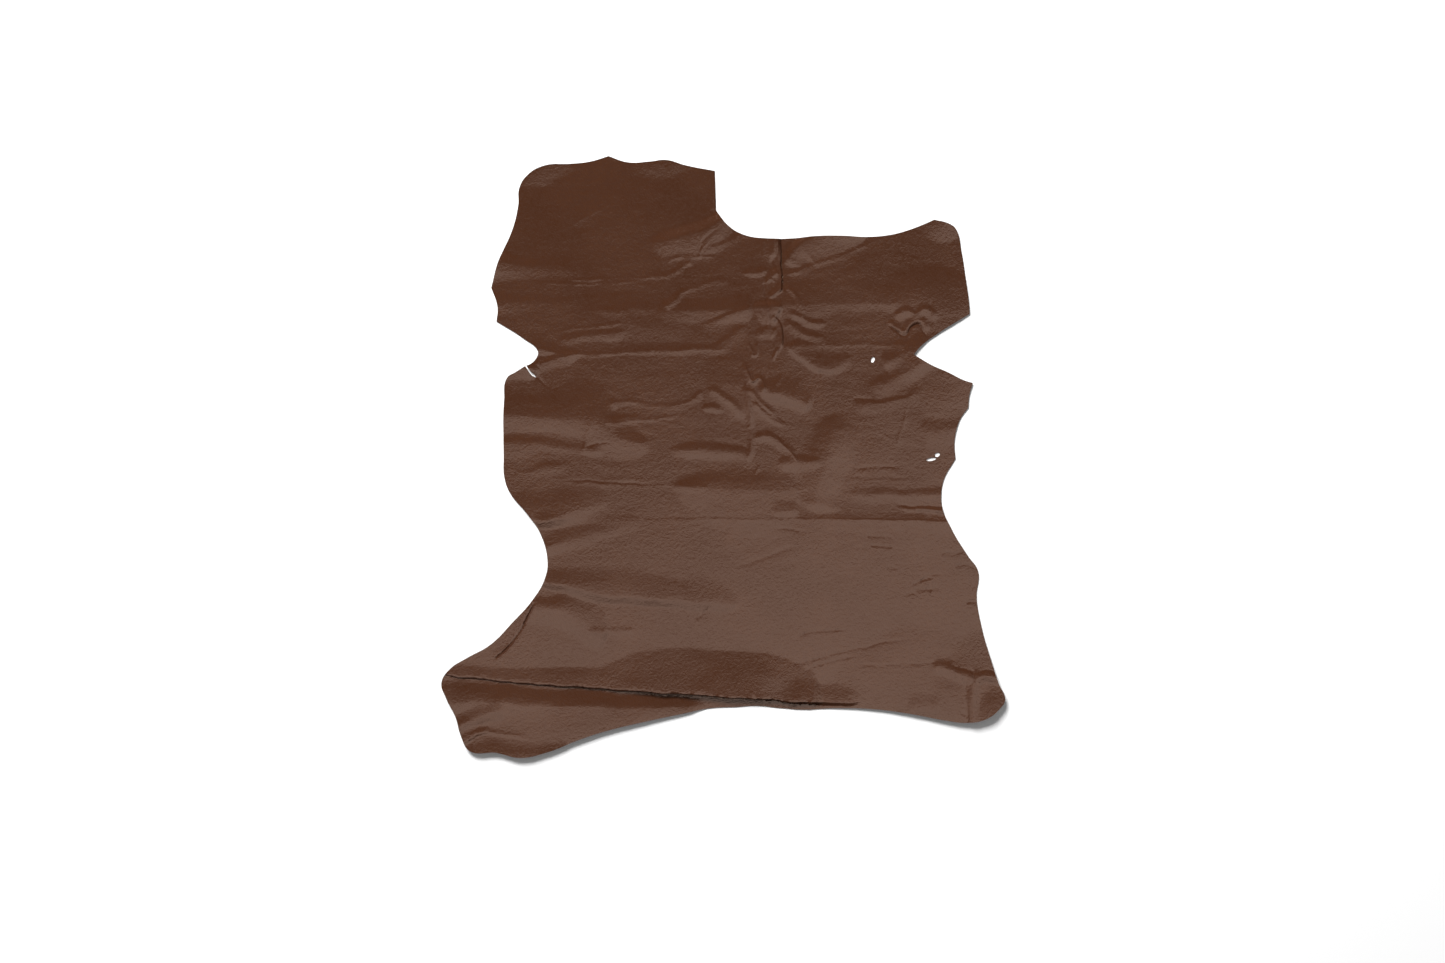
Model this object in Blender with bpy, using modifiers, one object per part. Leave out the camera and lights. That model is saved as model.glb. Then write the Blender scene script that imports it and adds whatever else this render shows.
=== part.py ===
"""One whole goatskin of lining leather, laid grain side up on a flat surface.

The outline and the folds are drawn as seen from straight above, in pixels of the photograph
(x to the right, y downwards), and SKIN_LENGTH brings them to real size. In the solid +X is the
drawing's right, +Y its top and +Z the grain side. Heights of folds are in millimetres.
"""

import math
from collections import namedtuple

import bmesh
import bpy
import numpy as np
from mathutils import Vector, geometry, noise

# Driving sizes in metres
SKIN_LENGTH = 0.837
THICKNESS = 0.0012
MM = 0.001

# The drawing, in pixels
DRAWN_LENGTH = 600.8
DRAWN_CENTRE = (722.75, 456.6)
PIXEL = SKIN_LENGTH / DRAWN_LENGTH

# Spacing of the mesh, in pixels
RIM_STEP = 8.0
HOLE_STEP = 2.5
CREST_STEP = 9.0
GRID_STEPS = (24, 12, 6)
RIM_CLEARANCE = 3.5
CREST_CLEARANCE = 3.0

# The sheet bends this much between neighbouring grid points, in millimetres, before it gets the
# middle and the closest spacing
BEND_FOR_STEP = (0.0, 0.12, 0.35)

# The settling of the sheet on its surface, in millimetres
SLACK = 0.25
LANDING = 0.35
ROLL_HEIGHT = 0.5
ROLL_LENGTH = 46.0

# No fold runs straight or stays as high: how far its path strays in pixels, how much its height
# changes, and the distances over which they do
STRAY = 1.6
STRAY_LENGTH = 19.0
WAVER = 0.2
WAVER_LENGTH = 45.0
TAPERED_WIDTH = 0.4

LEATHER_COLOUR = (0.105, 0.055, 0.037, 1.0)
LEATHER_ROUGHNESS = 0.46

# Each stretch of the outline runs clockwise from a corner to the corner that starts the next one
OUTLINE = (
    ("neck, right edge", (714.7, 171)),
    ("shoulder to right foreleg", (716, 210.5), (728, 225.5), (743, 234.5), (765, 238.4),
     (795, 238.3), (815, 236.4), (842, 236), (866, 237), (890, 235), (906, 231), (926, 223.5)),
    ("right foreleg, end", (934, 220), (950, 224.5), (956, 229.5), (961.5, 252), (965.5, 278),
     (969, 305)),
    ("right foreleg, lower edge", (969.5, 314), (938, 333.5), (920, 347)),
    ("right armpit", (913.7, 354.7), (930, 364.5), (948, 372.5), (964, 380.5)),
    ("right flank flap", (972.6, 383), (968.8, 397)),
    ("right flank", (968.3, 407.3), (959, 421.5), (954.6, 440)),
    ("right belly and hind leg", (955.4, 459), (943.5, 481), (941.8, 505), (952, 530), (968, 556),
     (978, 571), (976.6, 597), (982.3, 630), (991.7, 663), (998, 683), (1004.2, 699), (998, 708.5),
     (985.5, 718), (967.5, 722), (945, 720), (910, 713.5), (872, 708.8), (832, 708),
     (805, 709.5), (780, 708), (757, 705.8), (735, 707), (711, 708), (680, 714), (640, 722.4),
     (610, 729.5), (580, 739), (548, 751.5), (520.5, 757), (497, 752), (470, 750), (462.5, 738),
     (456, 717), (446, 697), (441.5, 683), (450, 669), (466, 658.5), (490, 645), (513, 622),
     (533, 599.5), (545.5, 577), (547.5, 560), (540, 533), (527, 513.5), (510, 493), (504.5, 478),
     (503.8, 455), (504.3, 400), (507, 378), (516, 372)),
    ("tear, lower lip", (525.4, 366.2), (529, 371.6), (532, 375.6)),
    ("tear, upper lip", (536.2, 377.4), (534.3, 374.2), (530.5, 371.2)),
    ("left foreleg, lower edge", (526.6, 365.7), (530, 364.5), (537, 357), (538, 351.5), (524, 339)),
    ("left foreleg, end", (496.6, 321.6), (497.6, 307)),
    ("left foreleg to neck", (491.3, 287.8), (498, 263), (513, 228), (518.3, 205), (519.5, 187.5),
     (529, 174), (545, 165.8), (570, 164), (590, 161.7)),
    ("neck", (608.5, 156.2), (628, 162.5), (650, 161.8), (666, 160.2), (685, 165.3)),
)

# Holes left by the flaying knife: x, y, half length, half width, and turn from the x axis
Hole = namedtuple("Hole", "name x y half_length half_width turn_degrees")
HOLES = (
    Hole("right shoulder hole", 872.7, 359.8, 3.0, 1.9, -72),
    Hole("right belly hole", 931.2, 459.3, 5.0, 1.6, -10),
    Hole("right belly hole, upper", 937.2, 454.8, 2.7, 2.1, -20),
)

# A fold is a ridge along its path: its height in millimetres, the width of its flanks to the
# left and to the right of someone walking along the path, how sharp its crest is, from -0.5 for a
# shoulder over a steep wall, 0 for a round crest and 0.5 for straight flanks to 1 for hollow ones,
# and the length over which it rises at the start and dies out at the end. A fold that runs off the
# skin has no such length there. A height or width given as a list has one value for each knot of
# the path, and two values of sharpness are for the left and the right flank.
Fold = namedtuple("Fold", "name height left right sharp rise fall path")
FOLDS = (
    Fold("belly edge ridge", (1.8, 2.4, 2.8, 3.6, 6.4, 10.0, 10.8, 7.0, 2.4),
         (12, 13, 16, 22, 42, 48, 45, 38, 28), (2, 2.4, 2.8, 3, 3, 3, 3, 3, 3), (0.5, -0.5), 0, 14,
         ((443, 673.5), (480, 677.8), (540, 682.6), (600, 686.4), (640, 689.6), (700, 693.4),
          (760, 697), (800, 700.6), (826, 702))),
    Fold("belly edge ridge, right end", (1.0, 2.8, 2.2, 1.0), (24, 22, 16, 12), 4, 0.3, 24, 18,
         ((774, 700.5), (822, 702), (846, 702), (868, 701))),
    Fold("belly strip rise", (4.6, 4.6, 4.6, 4.6, 4.4, 3.4, 1.6), (27, 20, 20, 19, 18, 16, 10), 200,
         (0.3, 0.5), 0, 10,
         ((446, 705), (490, 701), (525, 705), (565, 706), (610, 707), (650, 708), (708, 707))),
    Fold("belly hem curl", (2.6, 3.6, 3.6, 3.0, 1.8), (32, 48, 44, 30, 16), 10, 0.3, 0, 10,
         ((470, 760), (520, 760), (580, 742), (640, 725), (700, 712))),
    Fold("packing crease", (1.3, 1.1, 0.3, 0.2, 0.4, 0.9, 1.0), (10, 10, 5, 4, 5, 7, 8), 13, 0.8,
         8, 0,
         ((534, 525), (548, 520.5), (570, 519), (740, 519), (830, 519), (900, 520.5), (946, 521.5))),
    Fold("packing crease, left hump", (2.8, 2.8, 2.5, 1.5, 0.3), (34, 34, 32, 26, 18), 14, 0.2, 0, 12,
         ((524, 518), (545, 518), (575, 511), (594, 506), (616, 502))),
    Fold("rump edge", (0.2, 0.8, 1.3, 1.2), 22, 74, 0.3, 60, 0,
         ((640, 519), (720, 519), (830, 519), (946, 521))),
    Fold("shoulder crease, left", (1.4, 1.3, 1.1, 1.1, 1.2, 0.9), (10, 10, 9, 9, 9, 8), 7, 0.7, 0, 26,
         ((536, 348), (552, 351.5), (575, 354.5), (640, 352), (690, 350.5), (738, 349.5))),
    Fold("shoulder crease, left strand", 1.7, 6, 13, 0.3, 0, 14,
         ((530, 364), (546, 361.5), (560, 358), (582, 354.5))),
    Fold("shoulder crease, right", (0.4, 0.6, 0.8, 0.9), 11, 6, 0.6, 14, 10,
         ((780, 347), (812, 346), (870, 345), (910, 345))),
    Fold("foreleg crease, right", (1.1, 1.3, 0.7, 0.7, 0.9), (18, 24, 24, 24, 14), (18, 16, 11, 8, 10),
         0.5, 12, 16, ((762, 307), (800, 305), (840, 304), (870, 304), (906, 304))),
    Fold("foreleg crease, middle", (0.5, 1.4, 1.7, 1.3), (10, 16, 18, 14), 13, 0.4, 14, 8,
         ((652, 309), (690, 311), (722, 311), (756, 307))),
    Fold("foreleg crease, left", 0.6, 6, 7, 0.3, 16, 16, ((590, 311), (625, 310), (664, 306))),
    Fold("left shoulder bead", (0.4, 0.7, 1.0, 1.1, 1.1, 1.0), (4, 4, 5, 6, 7, 7), (4, 4, 5, 6, 6, 6),
         0.4, 20, 6, ((556, 281), (620, 279), (655, 277.5), (672, 274), (682, 267), (694, 259))),
    Fold("neck bead", (1.3, 1.4, 1.0, 0.7, 0.5), 6, 6, 0.4, 6, 12,
         ((663, 308), (672, 302), (682, 292), (700, 286), (732, 279))),
    Fold("neck notch ridge", (1.2, 3.8, 4.4, 3.4), (8, 12, 12, 10), (20, 32, 30, 20), 0.2, 14, 0,
         ((646, 246), (674, 238), (702, 231), (730, 214))),
    Fold("neck notch ridge, lower", (0.4, 0.6, 0.9), (6, 6, 6), (7, 9, 8), 0.2, 10, 0,
         ((696, 254), (722, 246), (744, 232))),
    Fold("left foreleg roll, upper", (4.2, 2.8, 1.5, 0.8, 0.3), 14, (28, 22, 18, 18, 18), 0.1, 0, 20,
         ((486, 262), (508, 264), (530, 267), (570, 269), (614, 272))),
    Fold("left foreleg roll, lower", (1.8, 0.9, 0.5), 13, 18, 0.2, 0, 26,
         ((488, 303), (530, 302), (586, 300))),
    Fold("left shoulder ripple", 0.8, 7, 10, 0.1, 12, 18,
         ((556, 341), (580, 337), (604, 335), (632, 332))),
    Fold("left flank lip", 2.6, 8, 17, 0.2, 0, 12, ((500, 369), (518, 366.5), (542, 373))),
    Fold("left flank roll, upper", (3.2, 3.1, 3.2, 3.6, 4.2, 3.5, 2.5, 1.6, 0.6),
         (31, 34, 44, 50, 44, 24, 18, 12, 10), (25, 22, 20, 25, 38, 34, 26, 19, 12), 0.2, 0, 14,
         ((500, 415), (526, 416), (556, 419), (576, 420), (592, 422), (606, 430), (622, 439), (642, 446),
          (654, 450))),
    Fold("left flank ripple", (0.7, 1.1, 0.8), 6, 12, 0.2, 8, 8, ((602, 421), (622, 418), (644, 417))),
    Fold("left flank roll, middle", (1.7, 1.6, 1.3, 1.2, 0.8), (9, 11, 13, 9, 8), (28, 22, 12, 12, 12),
         0.2, 0, 12, ((500, 443), (525, 443), (550, 445), (580, 449), (606, 452))),
    Fold("left belly roll", (0.4, 0.5, 1.1, 0.5), (8, 7, 10, 12), 12, 0.2, 0, 14,
         ((500, 480), (522, 475), (548, 468), (580, 464))),
    Fold("left belly bead", (0.5, 0.7, 0.9, 0.6), (4, 5, 6, 5), (5, 6, 9, 6), 0.5, 12, 16,
         ((570, 481), (620, 484.5), (664, 485.5), (712, 487))),
    Fold("back ripple, left", (0.7, 1.0, 0.6, 0.8, 1.0), 6, 7, 0.2, 10, 6,
         ((606, 403), (632, 402.5), (660, 406), (684, 404), (704, 390))),
    Fold("back roll, upper", (0.7, 1.7, 1.6, 0.5), (9, 12, 12, 9), (10, 13, 13, 10), 0.1, 14, 16,
         ((664, 453), (688, 450), (716, 450), (756, 455))),
    Fold("back roll, lower", (1.2, 2.7, 2.4, 1.7, 0.7), (14, 22, 22, 20, 14), (16, 32, 50, 46, 24),
         0.2, 16, 14, ((668, 487), (700, 489), (740, 490), (780, 491), (806, 490))),
    Fold("back roll, right", 1.4, 9, 12, 0.1, 12, 12, ((774, 464), (796, 462), (824, 462))),
    Fold("right back fall", (0.4, 2.2, 3.5, 3.2, 1.8), 30, (14, 22, 31, 25, 22), 0.1, 26, 12,
         ((842, 404), (833, 430), (828, 456), (821, 480), (812, 514))),
    Fold("rump ripple", 0.8, 13, 8, 0.1, 8, 8, ((770, 513), (786, 511), (802, 511))),
    Fold("spine pinch", (1.6, 2.2, 2.4, 2.4, 1.6), 2, 9, (-0.5, 0.4), 0, 6,
         ((779, 234), (779.5, 258), (780, 270), (781, 281), (779, 292))),
    Fold("spine pinch, left lip", 1.1, 5, 7, 0.3, 0, 10, ((773, 234), (773, 250), (768, 262))),
    Fold("spine pinch, left slope", (1.2, 2.4, 2.4), 6, (20, 32, 32), 0.2, 4, 2,
         ((759, 238), (769, 238), (780, 238))),
    Fold("spine crumple, collar", 1.0, 6, 5, 0.2, 8, 6, ((742, 274), (758, 273), (770, 268))),
    Fold("spine crumple, knuckle", 1.6, 6, 7, 0.1, 5, 5, ((766, 279), (772, 275), (779, 270))),
    Fold("spine crumple, hook", 1.1, 4, 5, 0.4, 4, 5, ((768, 297), (776, 290), (784, 288))),
    Fold("spine crumple, spur", (1.1, 1.1, 0.8, 0.5), 4, 4, 0.5, 3, 10,
         ((786, 286), (794, 295), (800, 306), (804, 322))),
    Fold("spine crumple, saddle", (1.4, 2.8, 2.0), (5, 6, 5), (24, 36, 26), 0.1, 6, 6,
         ((752, 309), (768, 305), (784, 310))),
    Fold("spine crumple, pad", (0.7, 1.0, 0.7), 6, 10, 0.1, 5, 5, ((755, 335), (767, 331), (778, 335))),
    Fold("spine crumple, curl", (1.1, 1.4, 1.4, 0.9), 3, 6, 0.3, 4, 6,
         ((772, 314), (779, 322), (782, 334), (782, 350))),
    Fold("spine crumple, left fan, upper", (0.5, 0.9, 1.2), 4, (12, 13, 16), 0.1, 14, 10,
         ((696, 327), (722, 319), (752, 307))),
    Fold("spine crumple, left fan, lower", 0.7, 6, 10, 0.2, 10, 8,
         ((712, 347), (730, 338), (748, 325))),
    Fold("spine crumple, right fan, upper", 1.0, 5, 6, 0.2, 6, 8,
         ((788, 313), (801, 318), (815, 323), (828, 325))),
    Fold("spine crumple, right fan, lower", (0.7, 1.1, 1.0, 0.6), 6, 7, 0.3, 6, 10,
         ((784, 320), (794, 328), (806, 334), (828, 339))),
    Fold("spine crumple, zigzag", 1.1, 5, 5, 0.4, 6, 6,
         ((743, 362), (748, 374), (753, 381), (759, 378), (765, 393))),
    Fold("spine crumple, fan, upper", (1.2, 2.3, 2.4, 1.4), (8, 19, 23, 14), (8, 11, 12, 10), 0.2, 8, 8,
         ((756, 390), (774, 393), (794, 399), (814, 407))),
    Fold("spine crumple, fan, middle", 0.9, 4, 4, 0.4, 5, 8, ((748, 389), (760, 402), (780, 416))),
    Fold("spine crumple, fan, lower", 0.9, 4, 5, 0.4, 6, 10, ((751, 402), (766, 414), (786, 428))),
    Fold("spine crumple, stem", (0.8, 1.1, 1.1, 1.1, 0.8), 5, 5, 0.4, 6, 8,
         ((745, 386), (748, 404), (750, 428), (752, 442), (747, 464))),
    Fold("spine crumple, tail", (1.2, 1.6, 1.2, 0.8), 6, 7, 0.3, 6, 10,
         ((753, 439), (766, 436), (780, 443), (798, 461))),
    Fold("spine crumple, left tail", (0.8, 1.3, 1.2, 0.7), 6, 7, 0.2, 6, 8,
         ((708, 387), (722, 396), (736, 407), (744, 420))),
    Fold("spine crumple, left knot", 1.1, 6, 7, 0.1, 6, 6, ((700, 410), (710, 408), (722, 412))),
    Fold("right shoulder slope", (1.2, 3.8, 4.2, 2.4), 8, (12, 32, 28, 12), 0.2, 8, 12,
         ((784, 266), (800, 244), (828, 234), (872, 232))),
    Fold("right shoulder ridge", (0.9, 0.6, 0.5, 0.6, 0.7), (4, 3, 3, 3, 4), 5, 0.5, 8, 10,
         ((786, 274), (806, 268), (835, 258), (858, 249), (890, 237))),
    Fold("right armpit crumple", (0.9, 1.4, 1.3, 1.5, 1.4, 1.1), 7, 4, 0.2, 5, 6,
         ((888, 320), (897, 328), (905, 331), (911, 323), (919, 321), (929, 333))),
    Fold("right armpit arch", (1.0, 1.5, 1.1, 1.5, 0.9), (5, 6, 4, 6, 5), (8, 9, 6, 9, 7), 0.2, 5, 5,
         ((893, 318), (907, 311), (916, 314), (926, 310), (938, 319))),
    Fold("right armpit roll", 2.0, 16, 15, 0.1, 8, 0, ((880, 364), (900, 357), (918, 348))),
    Fold("right shoulder bowl", (1.0, 1.7, 2.1, 1.8, 0.6), (14, 19, 23, 21, 12), (7, 7, 8, 12, 10), 0.1,
         8, 8, ((786, 344), (804, 358), (820, 368), (837, 366), (854, 354))),
    Fold("right flank ridge", (0.7, 1.3, 2.1, 2.4), (10, 11, 14, 14), 14, 0.1, 10, 0,
         ((868, 388), (894, 379), (915, 366), (934, 353))),
    Fold("right flank valley side", 0.7, 7, 12, 0.3, 10, 10,
         ((852, 404), (882, 403), (904, 398), (922, 390))),
    Fold("right flank roll", (0.8, 1.4, 1.6), 13, 22, 0.2, 8, 0, ((918, 431), (938, 430), (958, 430))),
    Fold("right belly roll", (0.6, 1.2, 1.4, 1.5), 11, 10, 0.2, 14, 0,
         ((842, 495), (872, 495), (910, 495), (946, 495))),
    Fold("right belly crease", (0.6, 1.4, 1.6), 4, 4, 0.5, 8, 0, ((898, 508), (922, 509), (944, 511))),
    Fold("left haunch ridge", (1.4, 1.2, 0.9, 0.4), (14, 20, 20, 14), 12, 0.2, 0, 14,
         ((542, 548), (575, 539), (605, 531), (644, 521))),
    Fold("left haunch roll", (2.3, 2.3, 2.6, 2.9, 2.8, 2.1, 1.2), (15, 18, 22, 26, 28, 26, 18),
         (8, 8, 10, 11, 12, 12, 10), 0.3, 0, 18,
         ((538, 582), (560, 585), (580, 589), (602, 594), (642, 597), (700, 602), (748, 604))),
    Fold("left haunch curl", (2.2, 2.3, 2.5, 2.8, 2.4, 1.2), (15, 17, 23, 30, 31, 22), 26, 0.1, 0, 8,
         ((534, 607), (552, 608), (568, 611), (583, 621), (597, 632), (610, 636))),
    Fold("left haunch streak", 0.7, 6, 8, 0.2, 8, 16, ((586, 631), (612, 631), (646, 629))),
    Fold("left hind leg pleat", 0.7, 1.6, 6, 0.4, 0, 10,
         ((534, 601), (527, 616.5), (518, 632.5), (504, 648.5), (491, 661))),
    Fold("left hind leg wrinkle, upper", (2.6, 2.5, 1.6, 0.9), 12, 9, 0.3, 0, 12,
         ((452, 730), (468, 723), (488, 714), (510, 711))),
    Fold("left hind leg wrinkle, middle", (1.2, 1.1, 0.7), 6, 6, 0.3, 0, 10,
         ((457, 741), (470, 734), (492, 727))),
    Fold("left hind leg wrinkle, lower", (1.2, 1.1, 0.8, 0.5, 0.3), 4, 3, 0.5, 0, 14,
         ((458, 746), (471, 738), (482, 732), (502, 733), (534, 740))),
    Fold("left foot curl", (2.4, 3.2, 2.8, 1.8, 0.8), (14, 24, 20, 14, 8), 8, 0.1, 0, 6,
         ((460, 757), (496, 760), (520, 760), (552, 755), (572, 746))),
    Fold("right foot ridge", (1.2, 2.0, 2.0), 8, 7, 0.3, 8, 0, ((973, 674), (971.5, 694), (972, 724))),
    Fold("right hind leg hem", (0.8, 1.1, 0.8), 14, 12, 0.1, 8, 8, ((906, 709), (924, 706), (942, 711))),
    Fold("right hind leg roll", (1.0, 1.9, 1.9, 1.4), (8, 10, 9, 7), 9, 0.3, 8, 4,
         ((930, 667), (948, 669), (964, 675), (974, 679))),
    Fold("right hind leg roll, outer", (1.5, 1.8, 1.5), 9, 7, 0.3, 3, 0,
         ((974, 679), (986, 676), (1002, 681))),
)

# Broad rises of the sheet: centre, half length, half width, turn from the x axis, height in mm
Swell = namedtuple("Swell", "name x y half_length half_width turn_degrees height")
SWELLS = (
    Swell("nape", 600, 212, 110, 60, 0, 1.0),
    Swell("neck end", 660, 156, 44, 24, 0, 2.4),
    Swell("left shoulder", 626, 318, 104, 36, 0, 1.4),
    Swell("withers", 768, 338, 70, 112, 0, 1.4),
    Swell("right shoulder", 850, 285, 96, 44, -6, 1.0),
    Swell("right foreleg", 936, 298, 60, 36, 0, 3.2),
    Swell("right foreleg corner", 944, 210, 34, 36, 0, 4.0),
    Swell("right hind leg", 925, 750, 125, 135, 0, 6.2),
    Swell("neck corner", 540, 156, 46, 32, -20, 3.6),
    Swell("back", 744, 388, 66, 42, 0, 1.3),
    Swell("right back", 892, 424, 70, 66, 0, 1.4),
    Swell("right flank flap", 956, 364, 52, 70, 0, 3.3),
    Swell("rump", 760, 470, 70, 44, 0, 0.8),
    Swell("left haunch", 590, 566, 70, 44, 0, 0.8),
    Swell("left foot", 466, 744, 34, 26, 20, 1.4),
    Swell("right foot", 1006, 730, 80, 110, 0, 6.6),
    Swell("right foot tip", 1002, 738, 34, 56, 0, 5.5),
)


def smooth_path(knots, step, corners=(), closed=False):
    """Points about a step apart on a Bezier spline through the knots, which turns sharply at corners."""
    curve = bpy.data.curves.new("path", "CURVE")
    spline = curve.splines.new("BEZIER")
    spline.bezier_points.add(len(knots) - 1)
    for index, (knot, place) in enumerate(zip(spline.bezier_points, knots)):
        kind = "VECTOR" if index in corners else "AUTO"
        knot.co = (*place, 0)
        knot.handle_left_type = kind
        knot.handle_right_type = kind
    spline.use_cyclic_u = closed
    bends = list(spline.bezier_points)
    pairs = zip(bends, bends[1:] + bends[:1] if closed else bends[1:])
    points = []
    for start, end in pairs:
        pieces = max(1, round((end.co - start.co).length / step))
        span = geometry.interpolate_bezier(
            start.co, start.handle_right, end.handle_left, end.co, pieces + 1
        )
        points += [(point.x, point.y) for point in span[:-1]]
    if not closed:
        points.append(tuple(knots[-1]))
    bpy.data.curves.remove(curve)
    return points


def outline_points():
    """The skin's edge, clockwise in the drawing."""
    knots = []
    corners = []
    for _name, *points in OUTLINE:
        corners.append(len(knots))
        knots += points
    return smooth_path(knots, RIM_STEP, corners, closed=True)


def hole_points(hole):
    """The edge of an oval hole."""
    count = round(math.pi * (hole.half_length + hole.half_width) / HOLE_STEP)
    turn = math.radians(hole.turn_degrees)
    points = []
    for index in range(count):
        angle = 2 * math.pi * index / count
        along = hole.half_length * math.cos(angle)
        across = hole.half_width * math.sin(angle)
        points.append((
            hole.x + along * math.cos(turn) - across * math.sin(turn),
            hole.y + along * math.sin(turn) + across * math.cos(turn),
        ))
    return points


def is_inside(loop, x, y):
    """Whether each point lies inside the closed loop, by counting the edges to its right."""
    inside = np.zeros(np.shape(x), bool)
    for (ax, ay), (bx, by) in zip(loop, loop[1:] + loop[:1]):
        if ay != by:
            crosses = (ay > y) != (by > y)
            inside ^= crosses & (x < ax + (y - ay) * (bx - ax) / (by - ay))
    return inside


def along_and_off(path, x, y):
    """How far along the path each point is, and how far off it, positive to the left."""
    nearest = np.full(np.shape(x), np.inf)
    along = np.zeros(np.shape(x))
    off = np.zeros(np.shape(x))
    run = 0.0
    for (ax, ay), (bx, by) in zip(path, path[1:]):
        dx, dy = bx - ax, by - ay
        length = math.hypot(dx, dy)
        share = np.clip(((x - ax) * dx + (y - ay) * dy) / length**2, 0, 1)
        off_x = x - ax - share * dx
        off_y = y - ay - share * dy
        distance = np.hypot(off_x, off_y)
        nearer = distance < nearest
        side = np.where(dy * off_x - dx * off_y >= 0, 1.0, -1.0)
        nearest = np.where(nearer, distance, nearest)
        along = np.where(nearer, run + share * length, along)
        off = np.where(nearer, side * distance, off)
        run += length
    return along, off, run


def ease(share):
    """Goes smoothly from 0 to 1 as the share does."""
    share = np.clip(share, 0, 1)
    return share * share * (3 - 2 * share)


def cloud(x, y, length, width, seed):
    """Smooth noise of about -0.5 to 0.5, with patches of a length along x and a width along y."""
    return np.array(
        [noise.noise(Vector((a / length, b / width, seed))) for a, b in zip(x, y)]
    )


def strayed(x, y, way=1):
    """The drawn place of what lies at each point, since the folds stray from their drawn paths."""
    return (
        x + way * STRAY * cloud(x, y, STRAY_LENGTH, STRAY_LENGTH, 3.7),
        y + way * STRAY * cloud(x, y, STRAY_LENGTH, STRAY_LENGTH, 9.1),
    )


def waver(name, along):
    """How the height of a fold changes along it, about 1."""
    steps = np.arange(0, along.max() + WAVER_LENGTH, WAVER_LENGTH / 4)
    seed = sum(ord(letter) for letter in name) / 10
    return 1 + WAVER * np.interp(along, steps, cloud(steps, steps * 0, WAVER_LENGTH, 1, seed))


def at_knots(fold, value, along, length):
    """A fold's value at each point: the same all along, or given for each knot of its path."""
    if not isinstance(value, tuple):
        return value
    chords = [math.dist(a, b) for a, b in zip(fold.path, fold.path[1:])]
    runs = np.concatenate([[0], np.cumsum(chords)])
    return np.interp(along * runs[-1] / length, runs, value)


def flank(sharp, reach):
    """The share of its height that a fold keeps at a share of its width."""
    kinds = (1 - reach**3, np.cos(reach * math.pi / 2) ** 2, 1 - reach, (1 - reach) ** 2)
    place = 2 * sharp + 1
    first = min(int(place), 2)
    return kinds[first] + (place - first) * (kinds[first + 1] - kinds[first])


def fold_height(fold, x, y):
    """Height of a fold at each point: it narrows where it rises and dies out."""
    along, off, length = along_and_off(FOLD_PATHS[fold.name], x, y)
    left = at_knots(fold, fold.left, along, length)
    right = at_knots(fold, fold.right, along, length)
    strength = np.ones(along.shape)
    if fold.rise:
        strength *= ease(along / fold.rise)
    if fold.fall:
        strength *= ease((length - along) / fold.fall)
    width = TAPERED_WIDTH + (1 - TAPERED_WIDTH) * strength
    reach = np.clip(np.where(off >= 0, off / left, -off / right) / width, 0, 1)
    left_sharp, right_sharp = fold.sharp if isinstance(fold.sharp, tuple) else (fold.sharp,) * 2
    shape = np.where(off >= 0, flank(left_sharp, reach), flank(right_sharp, reach))
    height = at_knots(fold, fold.height, along, length)
    return height * shape * strength * waver(fold.name, along)


def folds_height(folds, x, y):
    """The sum of the folds at each point, each worked out only where it reaches."""
    raised = np.zeros(np.shape(x))
    for fold in folds:
        reach = max(np.max(fold.left), np.max(fold.right))
        path = np.array(FOLD_PATHS[fold.name])
        low, high = path.min(axis=0) - reach, path.max(axis=0) + reach
        near = (x > low[0]) & (x < high[0]) & (y > low[1]) & (y < high[1])
        if near.any():
            raised[near] += fold_height(fold, x[near], y[near])
    return raised


def swell_height(swell, x, y):
    turn = math.radians(swell.turn_degrees)
    dx, dy = x - swell.x, y - swell.y
    along = (dx * math.cos(turn) + dy * math.sin(turn)) / swell.half_length
    across = (dy * math.cos(turn) - dx * math.sin(turn)) / swell.half_width
    return swell.height * np.clip(1 - along**2 - across**2, 0, 1) ** 1.5


def roll_height(x, y):
    """The slow unevenness of a sheet that was never quite flat."""
    return ROLL_HEIGHT * cloud(x, y, ROLL_LENGTH, ROLL_LENGTH, 0)


def sheet_height(x, y):
    """Height of the flesh side above the surface, in millimetres, 0 where the skin lies flat."""
    drawn = strayed(x, y)
    raised = roll_height(x, y) - SLACK + folds_height(FOLDS, *drawn)
    for swell in SWELLS:
        raised += swell_height(swell, *drawn)
    landing = np.clip(raised, 0, LANDING)
    return landing**2 / (2 * LANDING) + np.clip(raised - LANDING, 0, None)


def crest_runs(rim, holes):
    """The stretches of the fold crests that lie well inside the skin, as lists of points."""
    runs = []
    for fold in FOLDS:
        x, y = strayed(*np.array(FOLD_PATHS[fold.name]).T, way=-1)
        clear = is_inside(rim, x, y)
        for loop in (rim, *holes):
            clear &= np.abs(along_and_off(loop + loop[:1], x, y)[1]) > RIM_CLEARANCE
        run = []
        for point, kept in zip(zip(x, y), clear):
            if kept:
                run.append(point)
            elif run:
                runs.append(run)
                run = []
        if run:
            runs.append(run)
    return [run for run in runs if len(run) > 1]


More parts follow.
